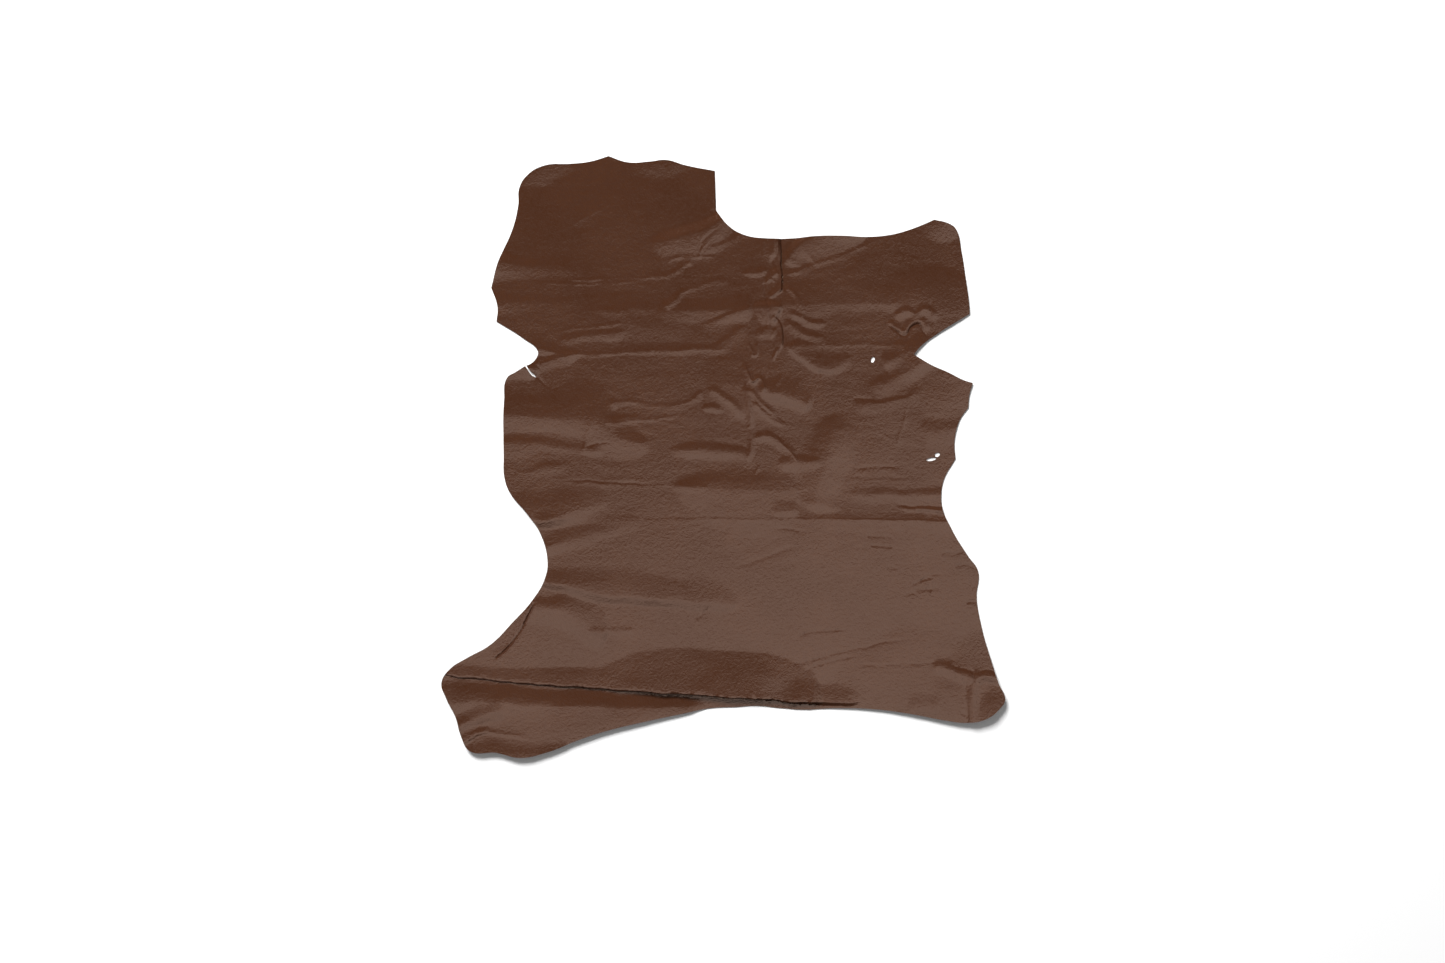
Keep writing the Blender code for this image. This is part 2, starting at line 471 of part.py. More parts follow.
def grid_points(crests, rim, holes):
    """Points inside the skin, closer together where it bends more."""
    finest = GRID_STEPS[-1]
    lows = np.min(rim, axis=0)
    highs = np.max(rim, axis=0)
    columns, rows = np.meshgrid(
        np.arange(lows[0] + finest, highs[0], finest),
        np.arange(lows[1] + finest, highs[1], finest),
    )
    x, y = columns.ravel(), rows.ravel()
    height = sheet_height(x, y).reshape(columns.shape)
    padded = np.pad(height, 1, mode="edge")
    beside = padded[1:-1, :-2] + padded[1:-1, 2:]
    above = padded[:-2, 1:-1] + padded[2:, 1:-1]
    bend = np.maximum(np.abs(beside - 2 * height), np.abs(above - 2 * height))
    row, column = np.indices(columns.shape)
    kept = np.zeros(columns.shape, bool)
    for step, least_bend in zip(GRID_STEPS, BEND_FOR_STEP):
        every = step // finest
        kept |= (row % every == 0) & (column % every == 0) & (bend >= least_bend)
    kept = kept.ravel() & is_inside(rim, x, y)
    for loop in (rim, *holes):
        kept &= np.abs(along_and_off(loop + loop[:1], x, y)[1]) > RIM_CLEARANCE
    for hole in holes:
        kept &= ~is_inside(hole, x, y)
    for run in crests:
        kept &= np.abs(along_and_off(run, x, y)[1]) > CREST_CLEARANCE
    return list(zip(x[kept], y[kept]))


def sheet_mesh():
    """The flesh side of the skin as an open surface that carries every fold."""
    rim = outline_points()
    holes = [hole_points(hole) for hole in HOLES]
    flat = []
    loops = []
    for loop in (rim, *holes):
        loops.append(list(range(len(flat), len(flat) + len(loop)))[::-1])
        flat += loop
    edges = []
    crests = crest_runs(rim, holes)
    for run in crests:
        edges += [(len(flat) + index, len(flat) + index + 1) for index in range(len(run) - 1)]
        flat += run
    flat += grid_points(crests, rim, holes)
    drawn = [Vector((x, -y)) for x, y in flat]
    points, _, triangles, _, _, sources = geometry.delaunay_2d_cdt(drawn, edges, loops, 1, 0.01)
    x = np.array([point.x for point in points])
    y = -np.array([point.y for point in points])
    height = sheet_height(x, y)
    kept = [triangle for triangle, source in zip(triangles, sources) if source == [0]]
    mesh = bpy.data.meshes.new("goatskin")
    mesh.from_pydata(
        [
            ((a - DRAWN_CENTRE[0]) * PIXEL, (DRAWN_CENTRE[1] - b) * PIXEL, h * MM)
            for a, b, h in zip(x, y, height)
        ],
        [],
        kept,
    )
    return mesh


def lining_leather():
    """Brown glazed lining leather."""
    material = bpy.data.materials.new("lining_leather")
    material.use_nodes = True
    shader = material.node_tree.nodes["Principled BSDF"]
    shader.inputs["Base Color"].default_value = LEATHER_COLOUR
    shader.inputs["Roughness"].default_value = LEATHER_ROUGHNESS
    shader.inputs["Metallic"].default_value = 0.0
    return material


def goatskin(collection):
    """The skin: its flesh side thickened upwards to the grain side."""
    mesh = sheet_mesh()
    shape = bmesh.new()
    shape.from_mesh(mesh)
    loose = [point for point in shape.verts if not point.link_faces]
    bmesh.ops.delete(shape, geom=loose, context="VERTS")
    bmesh.ops.recalc_face_normals(shape, faces=shape.faces)
    if sum(face.normal.z for face in shape.faces) < 0:
        bmesh.ops.reverse_faces(shape, faces=shape.faces)
    shape.to_mesh(mesh)
    shape.free()
    mesh.shade_smooth()
    skin = bpy.data.objects.new("goatskin", mesh)
    skin.data.materials.append(lining_leather())
    collection.objects.link(skin)
    body = skin.modifiers.new("thickness", "SOLIDIFY")
    body.thickness = THICKNESS
    body.offset = 1.0
    return skin


def centre_on_origin(skin):
    """Moves the skin so that the middle of its bounding box is over the origin."""
    bpy.context.view_layer.update()
    solid = skin.evaluated_get(bpy.context.evaluated_depsgraph_get())
    corners = np.array([tuple(corner) for corner in solid.bound_box])
    middle = (corners.min(axis=0) + corners.max(axis=0)) / 2
    skin.location = (-middle[0], -middle[1], 0)


def clear_scene():
    for thing in list(bpy.data.objects):
        bpy.data.objects.remove(thing, do_unlink=True)


clear_scene()
FOLD_PATHS = {fold.name: smooth_path(fold.path, CREST_STEP) for fold in FOLDS}
parts = bpy.data.collections.new("goatskin_lining_leather")
bpy.context.scene.collection.children.link(parts)
centre_on_origin(goatskin(parts))
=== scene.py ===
"""The looks of one whole goatskin of lining leather, laid grain side up.

The sheet is built as the real one is: a thin leather with a glazed grain side, a suede flesh
side and a raw cut edge, lying in the folds of its solid, with its fine creases pressed into the
grain side. The outline and the folds are drawn as seen from above, in pixels of the photograph
(x to the right, y downwards). The frame's box brings them to real size.
"""

import math
from collections import namedtuple

import bpy
import numpy as np
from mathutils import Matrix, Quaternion, Vector, geometry, noise


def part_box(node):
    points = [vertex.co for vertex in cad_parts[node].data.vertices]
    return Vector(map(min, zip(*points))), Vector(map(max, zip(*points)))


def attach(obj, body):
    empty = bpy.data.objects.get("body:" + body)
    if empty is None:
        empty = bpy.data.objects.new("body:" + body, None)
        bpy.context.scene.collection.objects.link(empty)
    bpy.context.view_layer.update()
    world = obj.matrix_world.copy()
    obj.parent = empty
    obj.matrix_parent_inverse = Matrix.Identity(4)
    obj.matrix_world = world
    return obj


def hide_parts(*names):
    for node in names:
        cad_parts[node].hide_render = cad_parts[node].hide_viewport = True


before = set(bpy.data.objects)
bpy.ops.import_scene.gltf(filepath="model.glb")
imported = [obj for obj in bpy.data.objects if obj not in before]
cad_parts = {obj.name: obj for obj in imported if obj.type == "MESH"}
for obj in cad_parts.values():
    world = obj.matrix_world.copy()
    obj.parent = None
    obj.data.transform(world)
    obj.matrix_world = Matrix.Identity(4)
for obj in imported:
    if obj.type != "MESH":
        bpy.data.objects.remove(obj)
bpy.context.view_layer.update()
SKIN_LOW, SKIN_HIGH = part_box("goatskin")

# Real sizes in metres
THICKNESS = 0.0012
MM = 0.001

# The drawing, in pixels
DRAWN_LENGTH = 600.8
DRAWN_CENTRE = (722.75, 456.6)
PIXEL = (SKIN_HIGH[1] - SKIN_LOW[1]) / DRAWN_LENGTH
PHOTO_SIZE = (1445, 963)
PHOTO_CENTRE = (PHOTO_SIZE[0] / 2, PHOTO_SIZE[1] / 2)

# Spacing of the mesh, in pixels
RIM_STEP = 2.0
HOLE_STEP = 0.9
CREST_STEP = 2.0
TOP_STEPS = (4, 2, 1)
UNDER_STEPS = (8, 2, 1)
RIM_CLEARANCE = 0.8
CREST_CLEARANCE = 0.6

# Each side bends this much between neighbouring grid points, in millimetres, before it gets the
# closer spacings
TOP_BENDS = (0.0, 0.004, 0.05)
UNDER_BENDS = (0.0, 0.1, 0.3)

# The settling of the sheet on its surface, in millimetres
SLACK = 0.25
LANDING = 0.35
ROLL_HEIGHT = 0.5
ROLL_LENGTH = 46.0

# No fold runs straight or stays as high: how far its path strays in pixels, how much its height
# changes, and the distances over which they do
STRAY = 1.6
STRAY_LENGTH = 19.0
WAVER = 0.2
WAVER_LENGTH = 45.0
TAPERED_WIDTH = 0.4

# Small soft wrinkles between the folds: height in millimetres, length and width in pixels, and
# the size of the noise at which they neither rise nor sink
Wrinkles = namedtuple("Wrinkles", "height length width")
WRINKLES = (Wrinkles(0.30, 34.0, 13.0), Wrinkles(0.14, 13.0, 8.0))
WRINKLE_LEVEL = 0.25

# The rump is smoother: the share of the wrinkles that is left on it, the y where it starts, and
# the distance over which they fade before it, in pixels
RUMP_SHARE = 0.35
RUMP_Y = 600
RUMP_FADE = 140

# The deepest that a crease is pressed, as a share of the thickness
DEEPEST_CREASE = 0.8

# How a swell falls off towards its edge
SWELL_POWER = 1.5

# Where in the noise each kind of unevenness is read, so that no two are alike
ROLL_SEED = 0
STRAY_SEEDS = (3.7, 9.1)
WRINKLE_SEED = 20

# How the mesh is made: the kind of triangulation that keeps the triangles inside the rim, the
# distance in pixels at which points merge, and how far round a crest points are tested against it
INSIDE_THE_RIM = 1
MERGE_DISTANCE = 0.01
CREST_MARGIN = 2

# Faces that meet at a larger angle than this keep a hard edge
SHARP_DEGREES = 28

# Colours
GRAIN_DARK = (0.0427, 0.0149, 0.0065, 1)
GRAIN_LIGHT = (0.0533, 0.02, 0.0096, 1)
GRAIN_SPECKLE = (0.0485, 0.0191, 0.0105, 1)
FLESH_DARK = (0.13, 0.085, 0.06, 1)
FLESH_LIGHT = (0.22, 0.155, 0.115, 1)
EDGE_DARK = (0.07, 0.04, 0.026, 1)
EDGE_LIGHT = (0.14, 0.09, 0.065, 1)
GRAIN_SHEEN_TINT = (0.96, 0.71, 0.59, 1)
TABLE_WHITE = (0.9, 0.9, 0.9, 1)
FILL_WHITE = (1, 1, 1, 1)

# Gloss
GRAIN_ROUGHNESS = 0.21
GRAIN_SPECULAR = 0.6
FLESH_ROUGHNESS = 0.95
FLESH_SPECULAR = 0.2
EDGE_ROUGHNESS = 0.85
TABLE_ROUGHNESS = 0.9

# Uneven colour: the scale and detail of its noise, and the part of the noise's range it spans
Mottle = namedtuple("Mottle", "scale detail low high")
DYE_CLOUDS = Mottle(9.0, 4.0, 0.35, 0.65)
GRAIN_SPECKLES = Mottle(260.0, 3.0, 0.3, 0.7)
FLESH_NAP = Mottle(420.0, 4.0, 0.3, 0.7)
EDGE_FIBRES = Mottle(700.0, 3.0, 0.3, 0.7)

# Relief too fine for the mesh: its scale, how strongly it shows, its depth in metres, and the
# detail of its noise
Relief = namedtuple("Relief", "scale strength depth detail", defaults=(None,))
PEBBLES = Relief(620.0, 0.35, 0.0006)
PORES = Relief(1500.0, 0.25, 0.0003, 2.0)
COARSE_GRAIN = Relief(240.0, 0.5, 0.0008, 3.0)
FLESH_FIBRES = Relief(900.0, 0.6, 0.0006, 4.0)

# The table top reaches this far each way, and lies this far below the skin, in metres
TABLE_REACH = 6.0
TABLE_GAP = 0.0002

# The lights, in metres and watts: a long box whose sheen lies on the lower half, and a soft key
# from the upper left that gives no sheen
Softbox = namedtuple("Softbox", "name place faces size power turn_degrees glossy diffuse")
SOFTBOXES = (
    Softbox("sheen", (0.26, -0.97, 3.2), (0.26, -0.97, 0), (6.0, 2.0), 77, 15, True, False),
    Softbox("key", (-1.89, 4.02, 4.02), (0, 0, 0), (2.4, 2.4), 690, 0, False, True),
)
FILL_STRENGTH = 0.25

# The camera's focal length, in millimetres
LENS = 50.0

# Each stretch of the outline runs clockwise from a corner to the corner that starts the next one
OUTLINE = (
    ("neck, right edge", (714.7, 171)),
    ("shoulder to right foreleg", (716, 210.5), (728, 225.5), (743, 234.5), (765, 238.4),
     (795, 238.3), (815, 236.4), (842, 236), (866, 237), (890, 235), (906, 231), (926, 223.5)),
    ("right foreleg, end", (934, 220), (950, 224.5), (956, 229.5), (961.5, 252), (965.5, 278),
     (969, 305)),
    ("right foreleg, lower edge", (969.5, 314), (938, 333.5), (920, 347)),
    ("right armpit", (913.7, 354.7), (930, 364.5), (948, 372.5), (964, 380.5)),
    ("right flank flap", (972.6, 383), (968.8, 397)),
    ("right flank", (968.3, 407.3), (959, 421.5), (954.6, 440)),
    ("right belly and hind leg", (955.4, 459), (943.5, 481), (941.8, 505), (952, 530), (968, 556),
     (978, 571), (976.6, 597), (982.3, 630), (991.7, 663), (998, 683), (1004.2, 699), (998, 708.5),
     (985.5, 718), (967.5, 722), (945, 720), (910, 713.5), (872, 708.8), (832, 708),
     (805, 709.5), (780, 708), (757, 705.8), (735, 707), (711, 708), (680, 714), (640, 722.4),
     (610, 729.5), (580, 739), (548, 751.5), (520.5, 757), (497, 752), (470, 750), (462.5, 738),
     (456, 717), (446, 697), (441.5, 683), (450, 669), (466, 658.5), (490, 645), (513, 622),
     (533, 599.5), (545.5, 577), (547.5, 560), (540, 533), (527, 513.5), (510, 493), (504.5, 478),
     (503.8, 455), (504.3, 400), (507, 378), (516, 372)),
    ("tear, lower lip", (525.4, 366.2), (529, 371.6), (532, 375.6)),
    ("tear, upper lip", (536.2, 377.4), (534.3, 374.2), (530.5, 371.2)),
    ("left foreleg, lower edge", (526.6, 365.7), (530, 364.5), (537, 357), (538, 351.5), (524, 339)),
    ("left foreleg, end", (496.6, 321.6), (497.6, 307)),
    ("left foreleg to neck", (491.3, 287.8), (498, 263), (513, 228), (518.3, 205), (519.5, 187.5),
     (529, 174), (545, 165.8), (570, 164), (590, 161.7)),
    ("neck", (608.5, 156.2), (628, 162.5), (650, 161.8), (666, 160.2), (685, 165.3)),
)

# Holes left by the flaying knife: x, y, half length, half width, and turn from the x axis
Hole = namedtuple("Hole", "name x y half_length half_width turn_degrees")
HOLES = (
    Hole("right shoulder hole", 872.7, 359.8, 3.0, 1.9, -72),
    Hole("right belly hole", 931.2, 459.3, 5.0, 1.6, -10),
    Hole("right belly hole, upper", 937.2, 454.8, 2.7, 2.1, -20),
)

# A fold is a ridge along its path: its height in millimetres, the width of its flanks to the
# left and to the right of someone walking along the path, how sharp its crest is, from -0.5 for a
# shoulder over a steep wall, 0 for a round crest and 0.5 for straight flanks to 1 for hollow ones,
# and the length over which it rises at the start and dies out at the end. A fold that runs off the
# skin has no such length there. A height or width in brackets has one value for each knot of the
# path, and two values of sharpness are for the left and the right flank.
Fold = namedtuple("Fold", "name height left right sharp rise fall path")
FOLDS = (
    Fold("belly edge ridge", (1.8, 2.4, 2.8, 3.6, 6.4, 10.0, 10.8, 7.0, 2.4),
         (12, 13, 16, 22, 42, 48, 45, 38, 28), (2, 2.4, 2.8, 3, 3, 3, 3, 3, 3), (0.5, -0.5), 0, 14,
         ((443, 673.5), (480, 677.8), (540, 682.6), (600, 686.4), (640, 689.6), (700, 693.4),
          (760, 697), (800, 700.6), (826, 702))),
    Fold("belly edge ridge, right end", (1.0, 2.8, 2.2, 1.0), (24, 22, 16, 12), 4, 0.3, 24, 18,
         ((774, 700.5), (822, 702), (846, 702), (868, 701))),
    Fold("belly strip rise", (4.6, 4.6, 4.6, 4.6, 4.4, 3.4, 1.6), (27, 20, 20, 19, 18, 16, 10), 200,
         (0.3, 0.5), 0, 10,
         ((446, 705), (490, 701), (525, 705), (565, 706), (610, 707), (650, 708), (708, 707))),
    Fold("belly hem curl", (2.6, 3.6, 3.6, 3.0, 1.8), (32, 48, 44, 30, 16), 10, 0.3, 0, 10,
         ((470, 760), (520, 760), (580, 742), (640, 725), (700, 712))),
    Fold("packing crease", (1.3, 1.1, 0.3, 0.2, 0.4, 0.9, 1.0), (10, 10, 5, 4, 5, 7, 8), 13, 0.8,
         8, 0,
         ((534, 525), (548, 520.5), (570, 519), (740, 519), (830, 519), (900, 520.5), (946, 521.5))),
    Fold("packing crease, left hump", (2.8, 2.8, 2.5, 1.5, 0.3), (34, 34, 32, 26, 18), 14, 0.2, 0, 12,
         ((524, 518), (545, 518), (575, 511), (594, 506), (616, 502))),
    Fold("rump edge", (0.2, 0.8, 1.3, 1.2), 22, 74, 0.3, 60, 0,
         ((640, 519), (720, 519), (830, 519), (946, 521))),
    Fold("shoulder crease, left", (1.4, 1.3, 1.1, 1.1, 1.2, 0.9), (10, 10, 9, 9, 9, 8), 7, 0.7, 0, 26,
         ((536, 348), (552, 351.5), (575, 354.5), (640, 352), (690, 350.5), (738, 349.5))),
    Fold("shoulder crease, left strand", 1.7, 6, 13, 0.3, 0, 14,
         ((530, 364), (546, 361.5), (560, 358), (582, 354.5))),
    Fold("shoulder crease, right", (0.4, 0.6, 0.8, 0.9), 11, 6, 0.6, 14, 10,
         ((780, 347), (812, 346), (870, 345), (910, 345))),
    Fold("foreleg crease, right", (1.1, 1.3, 0.7, 0.7, 0.9), (18, 24, 24, 24, 14), (18, 16, 11, 8, 10),
         0.5, 12, 16, ((762, 307), (800, 305), (840, 304), (870, 304), (906, 304))),
    Fold("foreleg crease, middle", (0.5, 1.4, 1.7, 1.3), (10, 16, 18, 14), 13, 0.4, 14, 8,
         ((652, 309), (690, 311), (722, 311), (756, 307))),
    Fold("foreleg crease, left", 0.6, 6, 7, 0.3, 16, 16, ((590, 311), (625, 310), (664, 306))),
    Fold("left shoulder bead", (0.4, 0.7, 1.0, 1.1, 1.1, 1.0), (4, 4, 5, 6, 7, 7), (4, 4, 5, 6, 6, 6),
         0.4, 20, 6, ((556, 281), (620, 279), (655, 277.5), (672, 274), (682, 267), (694, 259))),
    Fold("neck bead", (1.3, 1.4, 1.0, 0.7, 0.5), 6, 6, 0.4, 6, 12,
         ((663, 308), (672, 302), (682, 292), (700, 286), (732, 279))),
    Fold("neck notch ridge", (1.2, 3.8, 4.4, 3.4), (8, 12, 12, 10), (20, 32, 30, 20), 0.2, 14, 0,
         ((646, 246), (674, 238), (702, 231), (730, 214))),
    Fold("neck notch ridge, lower", (0.4, 0.6, 0.9), (6, 6, 6), (7, 9, 8), 0.2, 10, 0,
         ((696, 254), (722, 246), (744, 232))),
    Fold("left foreleg roll, upper", (4.2, 2.8, 1.5, 0.8, 0.3), 14, (28, 22, 18, 18, 18), 0.1, 0, 20,
         ((486, 262), (508, 264), (530, 267), (570, 269), (614, 272))),
    Fold("left foreleg roll, lower", (1.8, 0.9, 0.5), 13, 18, 0.2, 0, 26,
         ((488, 303), (530, 302), (586, 300))),
    Fold("left shoulder ripple", 0.8, 7, 10, 0.1, 12, 18,
         ((556, 341), (580, 337), (604, 335), (632, 332))),
    Fold("left flank lip", 2.6, 8, 17, 0.2, 0, 12, ((500, 369), (518, 366.5), (542, 373))),
    Fold("left flank roll, upper", (3.2, 3.1, 3.2, 3.6, 4.2, 3.5, 2.5, 1.6, 0.6),
         (31, 34, 44, 50, 44, 24, 18, 12, 10), (25, 22, 20, 25, 38, 34, 26, 19, 12), 0.2, 0, 14,
         ((500, 415), (526, 416), (556, 419), (576, 420), (592, 422), (606, 430), (622, 439), (642, 446),
          (654, 450))),
    Fold("left flank ripple", (0.7, 1.1, 0.8), 6, 12, 0.2, 8, 8, ((602, 421), (622, 418), (644, 417))),
    Fold("left flank roll, middle", (1.7, 1.6, 1.3, 1.2, 0.8), (9, 11, 13, 9, 8), (28, 22, 12, 12, 12),
         0.2, 0, 12, ((500, 443), (525, 443), (550, 445), (580, 449), (606, 452))),
    Fold("left belly roll", (0.4, 0.5, 1.1, 0.5), (8, 7, 10, 12), 12, 0.2, 0, 14,
         ((500, 480), (522, 475), (548, 468), (580, 464))),
    Fold("left belly bead", (0.5, 0.7, 0.9, 0.6), (4, 5, 6, 5), (5, 6, 9, 6), 0.5, 12, 16,
         ((570, 481), (620, 484.5), (664, 485.5), (712, 487))),
    Fold("back ripple, left", (0.7, 1.0, 0.6, 0.8, 1.0), 6, 7, 0.2, 10, 6,
         ((606, 403), (632, 402.5), (660, 406), (684, 404), (704, 390))),
    Fold("back roll, upper", (0.7, 1.7, 1.6, 0.5), (9, 12, 12, 9), (10, 13, 13, 10), 0.1, 14, 16,
         ((664, 453), (688, 450), (716, 450), (756, 455))),
    Fold("back roll, lower", (1.2, 2.7, 2.4, 1.7, 0.7), (14, 22, 22, 20, 14), (16, 32, 50, 46, 24),
         0.2, 16, 14, ((668, 487), (700, 489), (740, 490), (780, 491), (806, 490))),
    Fold("back roll, right", 1.4, 9, 12, 0.1, 12, 12, ((774, 464), (796, 462), (824, 462))),
    Fold("right back fall", (0.4, 2.2, 3.5, 3.2, 1.8), 30, (14, 22, 31, 25, 22), 0.1, 26, 12,
         ((842, 404), (833, 430), (828, 456), (821, 480), (812, 514))),
    Fold("rump ripple", 0.8, 13, 8, 0.1, 8, 8, ((770, 513), (786, 511), (802, 511))),
    Fold("spine pinch", (1.6, 2.2, 2.4, 2.4, 1.6), 2, 9, (-0.5, 0.4), 0, 6,
         ((779, 234), (779.5, 258), (780, 270), (781, 281), (779, 292))),
    Fold("spine pinch, left lip", 1.1, 5, 7, 0.3, 0, 10, ((773, 234), (773, 250), (768, 262))),
    Fold("spine pinch, left slope", (1.2, 2.4, 2.4), 6, (20, 32, 32), 0.2, 4, 2,
         ((759, 238), (769, 238), (780, 238))),
    Fold("spine crumple, collar", 1.0, 6, 5, 0.2, 8, 6, ((742, 274), (758, 273), (770, 268))),
    Fold("spine crumple, knuckle", 1.6, 6, 7, 0.1, 5, 5, ((766, 279), (772, 275), (779, 270))),
    Fold("spine crumple, hook", 1.1, 4, 5, 0.4, 4, 5, ((768, 297), (776, 290), (784, 288))),
    Fold("spine crumple, spur", (1.1, 1.1, 0.8, 0.5), 4, 4, 0.5, 3, 10,
         ((786, 286), (794, 295), (800, 306), (804, 322))),
    Fold("spine crumple, saddle", (1.4, 2.8, 2.0), (5, 6, 5), (24, 36, 26), 0.1, 6, 6,
         ((752, 309), (768, 305), (784, 310))),
    Fold("spine crumple, pad", (0.7, 1.0, 0.7), 6, 10, 0.1, 5, 5, ((755, 335), (767, 331), (778, 335))),
    Fold("spine crumple, curl", (1.1, 1.4, 1.4, 0.9), 3, 6, 0.3, 4, 6,
         ((772, 314), (779, 322), (782, 334), (782, 350))),
    Fold("spine crumple, left fan, upper", (0.5, 0.9, 1.2), 4, (12, 13, 16), 0.1, 14, 10,
         ((696, 327), (722, 319), (752, 307))),
    Fold("spine crumple, left fan, lower", 0.7, 6, 10, 0.2, 10, 8,
         ((712, 347), (730, 338), (748, 325))),
    Fold("spine crumple, right fan, upper", 1.0, 5, 6, 0.2, 6, 8,
         ((788, 313), (801, 318), (815, 323), (828, 325))),
    Fold("spine crumple, right fan, lower", (0.7, 1.1, 1.0, 0.6), 6, 7, 0.3, 6, 10,
         ((784, 320), (794, 328), (806, 334), (828, 339))),
    Fold("spine crumple, zigzag", 1.1, 5, 5, 0.4, 6, 6,
         ((743, 362), (748, 374), (753, 381), (759, 378), (765, 393))),
    Fold("spine crumple, fan, upper", (1.2, 2.3, 2.4, 1.4), (8, 19, 23, 14), (8, 11, 12, 10), 0.2, 8, 8,
         ((756, 390), (774, 393), (794, 399), (814, 407))),
    Fold("spine crumple, fan, middle", 0.9, 4, 4, 0.4, 5, 8, ((748, 389), (760, 402), (780, 416))),
    Fold("spine crumple, fan, lower", 0.9, 4, 5, 0.4, 6, 10, ((751, 402), (766, 414), (786, 428))),
    Fold("spine crumple, stem", (0.8, 1.1, 1.1, 1.1, 0.8), 5, 5, 0.4, 6, 8,
         ((745, 386), (748, 404), (750, 428), (752, 442), (747, 464))),
    Fold("spine crumple, tail", (1.2, 1.6, 1.2, 0.8), 6, 7, 0.3, 6, 10,
         ((753, 439), (766, 436), (780, 443), (798, 461))),
    Fold("spine crumple, left tail", (0.8, 1.3, 1.2, 0.7), 6, 7, 0.2, 6, 8,
         ((708, 387), (722, 396), (736, 407), (744, 420))),
    Fold("spine crumple, left knot", 1.1, 6, 7, 0.1, 6, 6, ((700, 410), (710, 408), (722, 412))),
    Fold("right shoulder slope", (1.2, 3.8, 4.2, 2.4), 8, (12, 32, 28, 12), 0.2, 8, 12,
         ((784, 266), (800, 244), (828, 234), (872, 232))),
    Fold("right shoulder ridge", (0.9, 0.6, 0.5, 0.6, 0.7), (4, 3, 3, 3, 4), 5, 0.5, 8, 10,
         ((786, 274), (806, 268), (835, 258), (858, 249), (890, 237))),
    Fold("right armpit crumple", (0.9, 1.4, 1.3, 1.5, 1.4, 1.1), 7, 4, 0.2, 5, 6,
         ((888, 320), (897, 328), (905, 331), (911, 323), (919, 321), (929, 333))),
    Fold("right armpit arch", (1.0, 1.5, 1.1, 1.5, 0.9), (5, 6, 4, 6, 5), (8, 9, 6, 9, 7), 0.2, 5, 5,
         ((893, 318), (907, 311), (916, 314), (926, 310), (938, 319))),
    Fold("right armpit roll", 2.0, 16, 15, 0.1, 8, 0, ((880, 364), (900, 357), (918, 348))),
    Fold("right shoulder bowl", (1.0, 1.7, 2.1, 1.8, 0.6), (14, 19, 23, 21, 12), (7, 7, 8, 12, 10), 0.1,
         8, 8, ((786, 344), (804, 358), (820, 368), (837, 366), (854, 354))),
    Fold("right flank ridge", (0.7, 1.3, 2.1, 2.4), (10, 11, 14, 14), 14, 0.1, 10, 0,
         ((868, 388), (894, 379), (915, 366), (934, 353))),
    Fold("right flank valley side", 0.7, 7, 12, 0.3, 10, 10,
         ((852, 404), (882, 403), (904, 398), (922, 390))),
    Fold("right flank roll", (0.8, 1.4, 1.6), 13, 22, 0.2, 8, 0, ((918, 431), (938, 430), (958, 430))),
    Fold("right belly roll", (0.6, 1.2, 1.4, 1.5), 11, 10, 0.2, 14, 0,
         ((842, 495), (872, 495), (910, 495), (946, 495))),
    Fold("right belly crease", (0.6, 1.4, 1.6), 4, 4, 0.5, 8, 0, ((898, 508), (922, 509), (944, 511))),
    Fold("left haunch ridge", (1.4, 1.2, 0.9, 0.4), (14, 20, 20, 14), 12, 0.2, 0, 14,
         ((542, 548), (575, 539), (605, 531), (644, 521))),
    Fold("left haunch roll", (2.3, 2.3, 2.6, 2.9, 2.8, 2.1, 1.2), (15, 18, 22, 26, 28, 26, 18),
         (8, 8, 10, 11, 12, 12, 10), 0.3, 0, 18,
         ((538, 582), (560, 585), (580, 589), (602, 594), (642, 597), (700, 602), (748, 604))),
    Fold("left haunch curl", (2.2, 2.3, 2.5, 2.8, 2.4, 1.2), (15, 17, 23, 30, 31, 22), 26, 0.1, 0, 8,
         ((534, 607), (552, 608), (568, 611), (583, 621), (597, 632), (610, 636))),
    Fold("left haunch streak", 0.7, 6, 8, 0.2, 8, 16, ((586, 631), (612, 631), (646, 629))),
    Fold("left hind leg pleat", 0.7, 1.6, 6, 0.4, 0, 10,
         ((534, 601), (527, 616.5), (518, 632.5), (504, 648.5), (491, 661))),
    Fold("left hind leg wrinkle, upper", (2.6, 2.5, 1.6, 0.9), 12, 9, 0.3, 0, 12,
         ((452, 730), (468, 723), (488, 714), (510, 711))),
    Fold("left hind leg wrinkle, middle", (1.2, 1.1, 0.7), 6, 6, 0.3, 0, 10,
         ((457, 741), (470, 734), (492, 727))),
    Fold("left hind leg wrinkle, lower", (1.2, 1.1, 0.8, 0.5, 0.3), 4, 3, 0.5, 0, 14,
         ((458, 746), (471, 738), (482, 732), (502, 733), (534, 740))),
    Fold("left foot curl", (2.4, 3.2, 2.8, 1.8, 0.8), (14, 24, 20, 14, 8), 8, 0.1, 0, 6,
         ((460, 757), (496, 760), (520, 760), (552, 755), (572, 746))),
    Fold("right foot ridge", (1.2, 2.0, 2.0), 8, 7, 0.3, 8, 0, ((973, 674), (971.5, 694), (972, 724))),
    Fold("right hind leg hem", (0.8, 1.1, 0.8), 14, 12, 0.1, 8, 8, ((906, 709), (924, 706), (942, 711))),
    Fold("right hind leg roll", (1.0, 1.9, 1.9, 1.4), (8, 10, 9, 7), 9, 0.3, 8, 4,
         ((930, 667), (948, 669), (964, 675), (974, 679))),
    Fold("right hind leg roll, outer", (1.5, 1.8, 1.5), 9, 7, 0.3, 3, 0,
         ((974, 679), (986, 676), (1002, 681))),
)

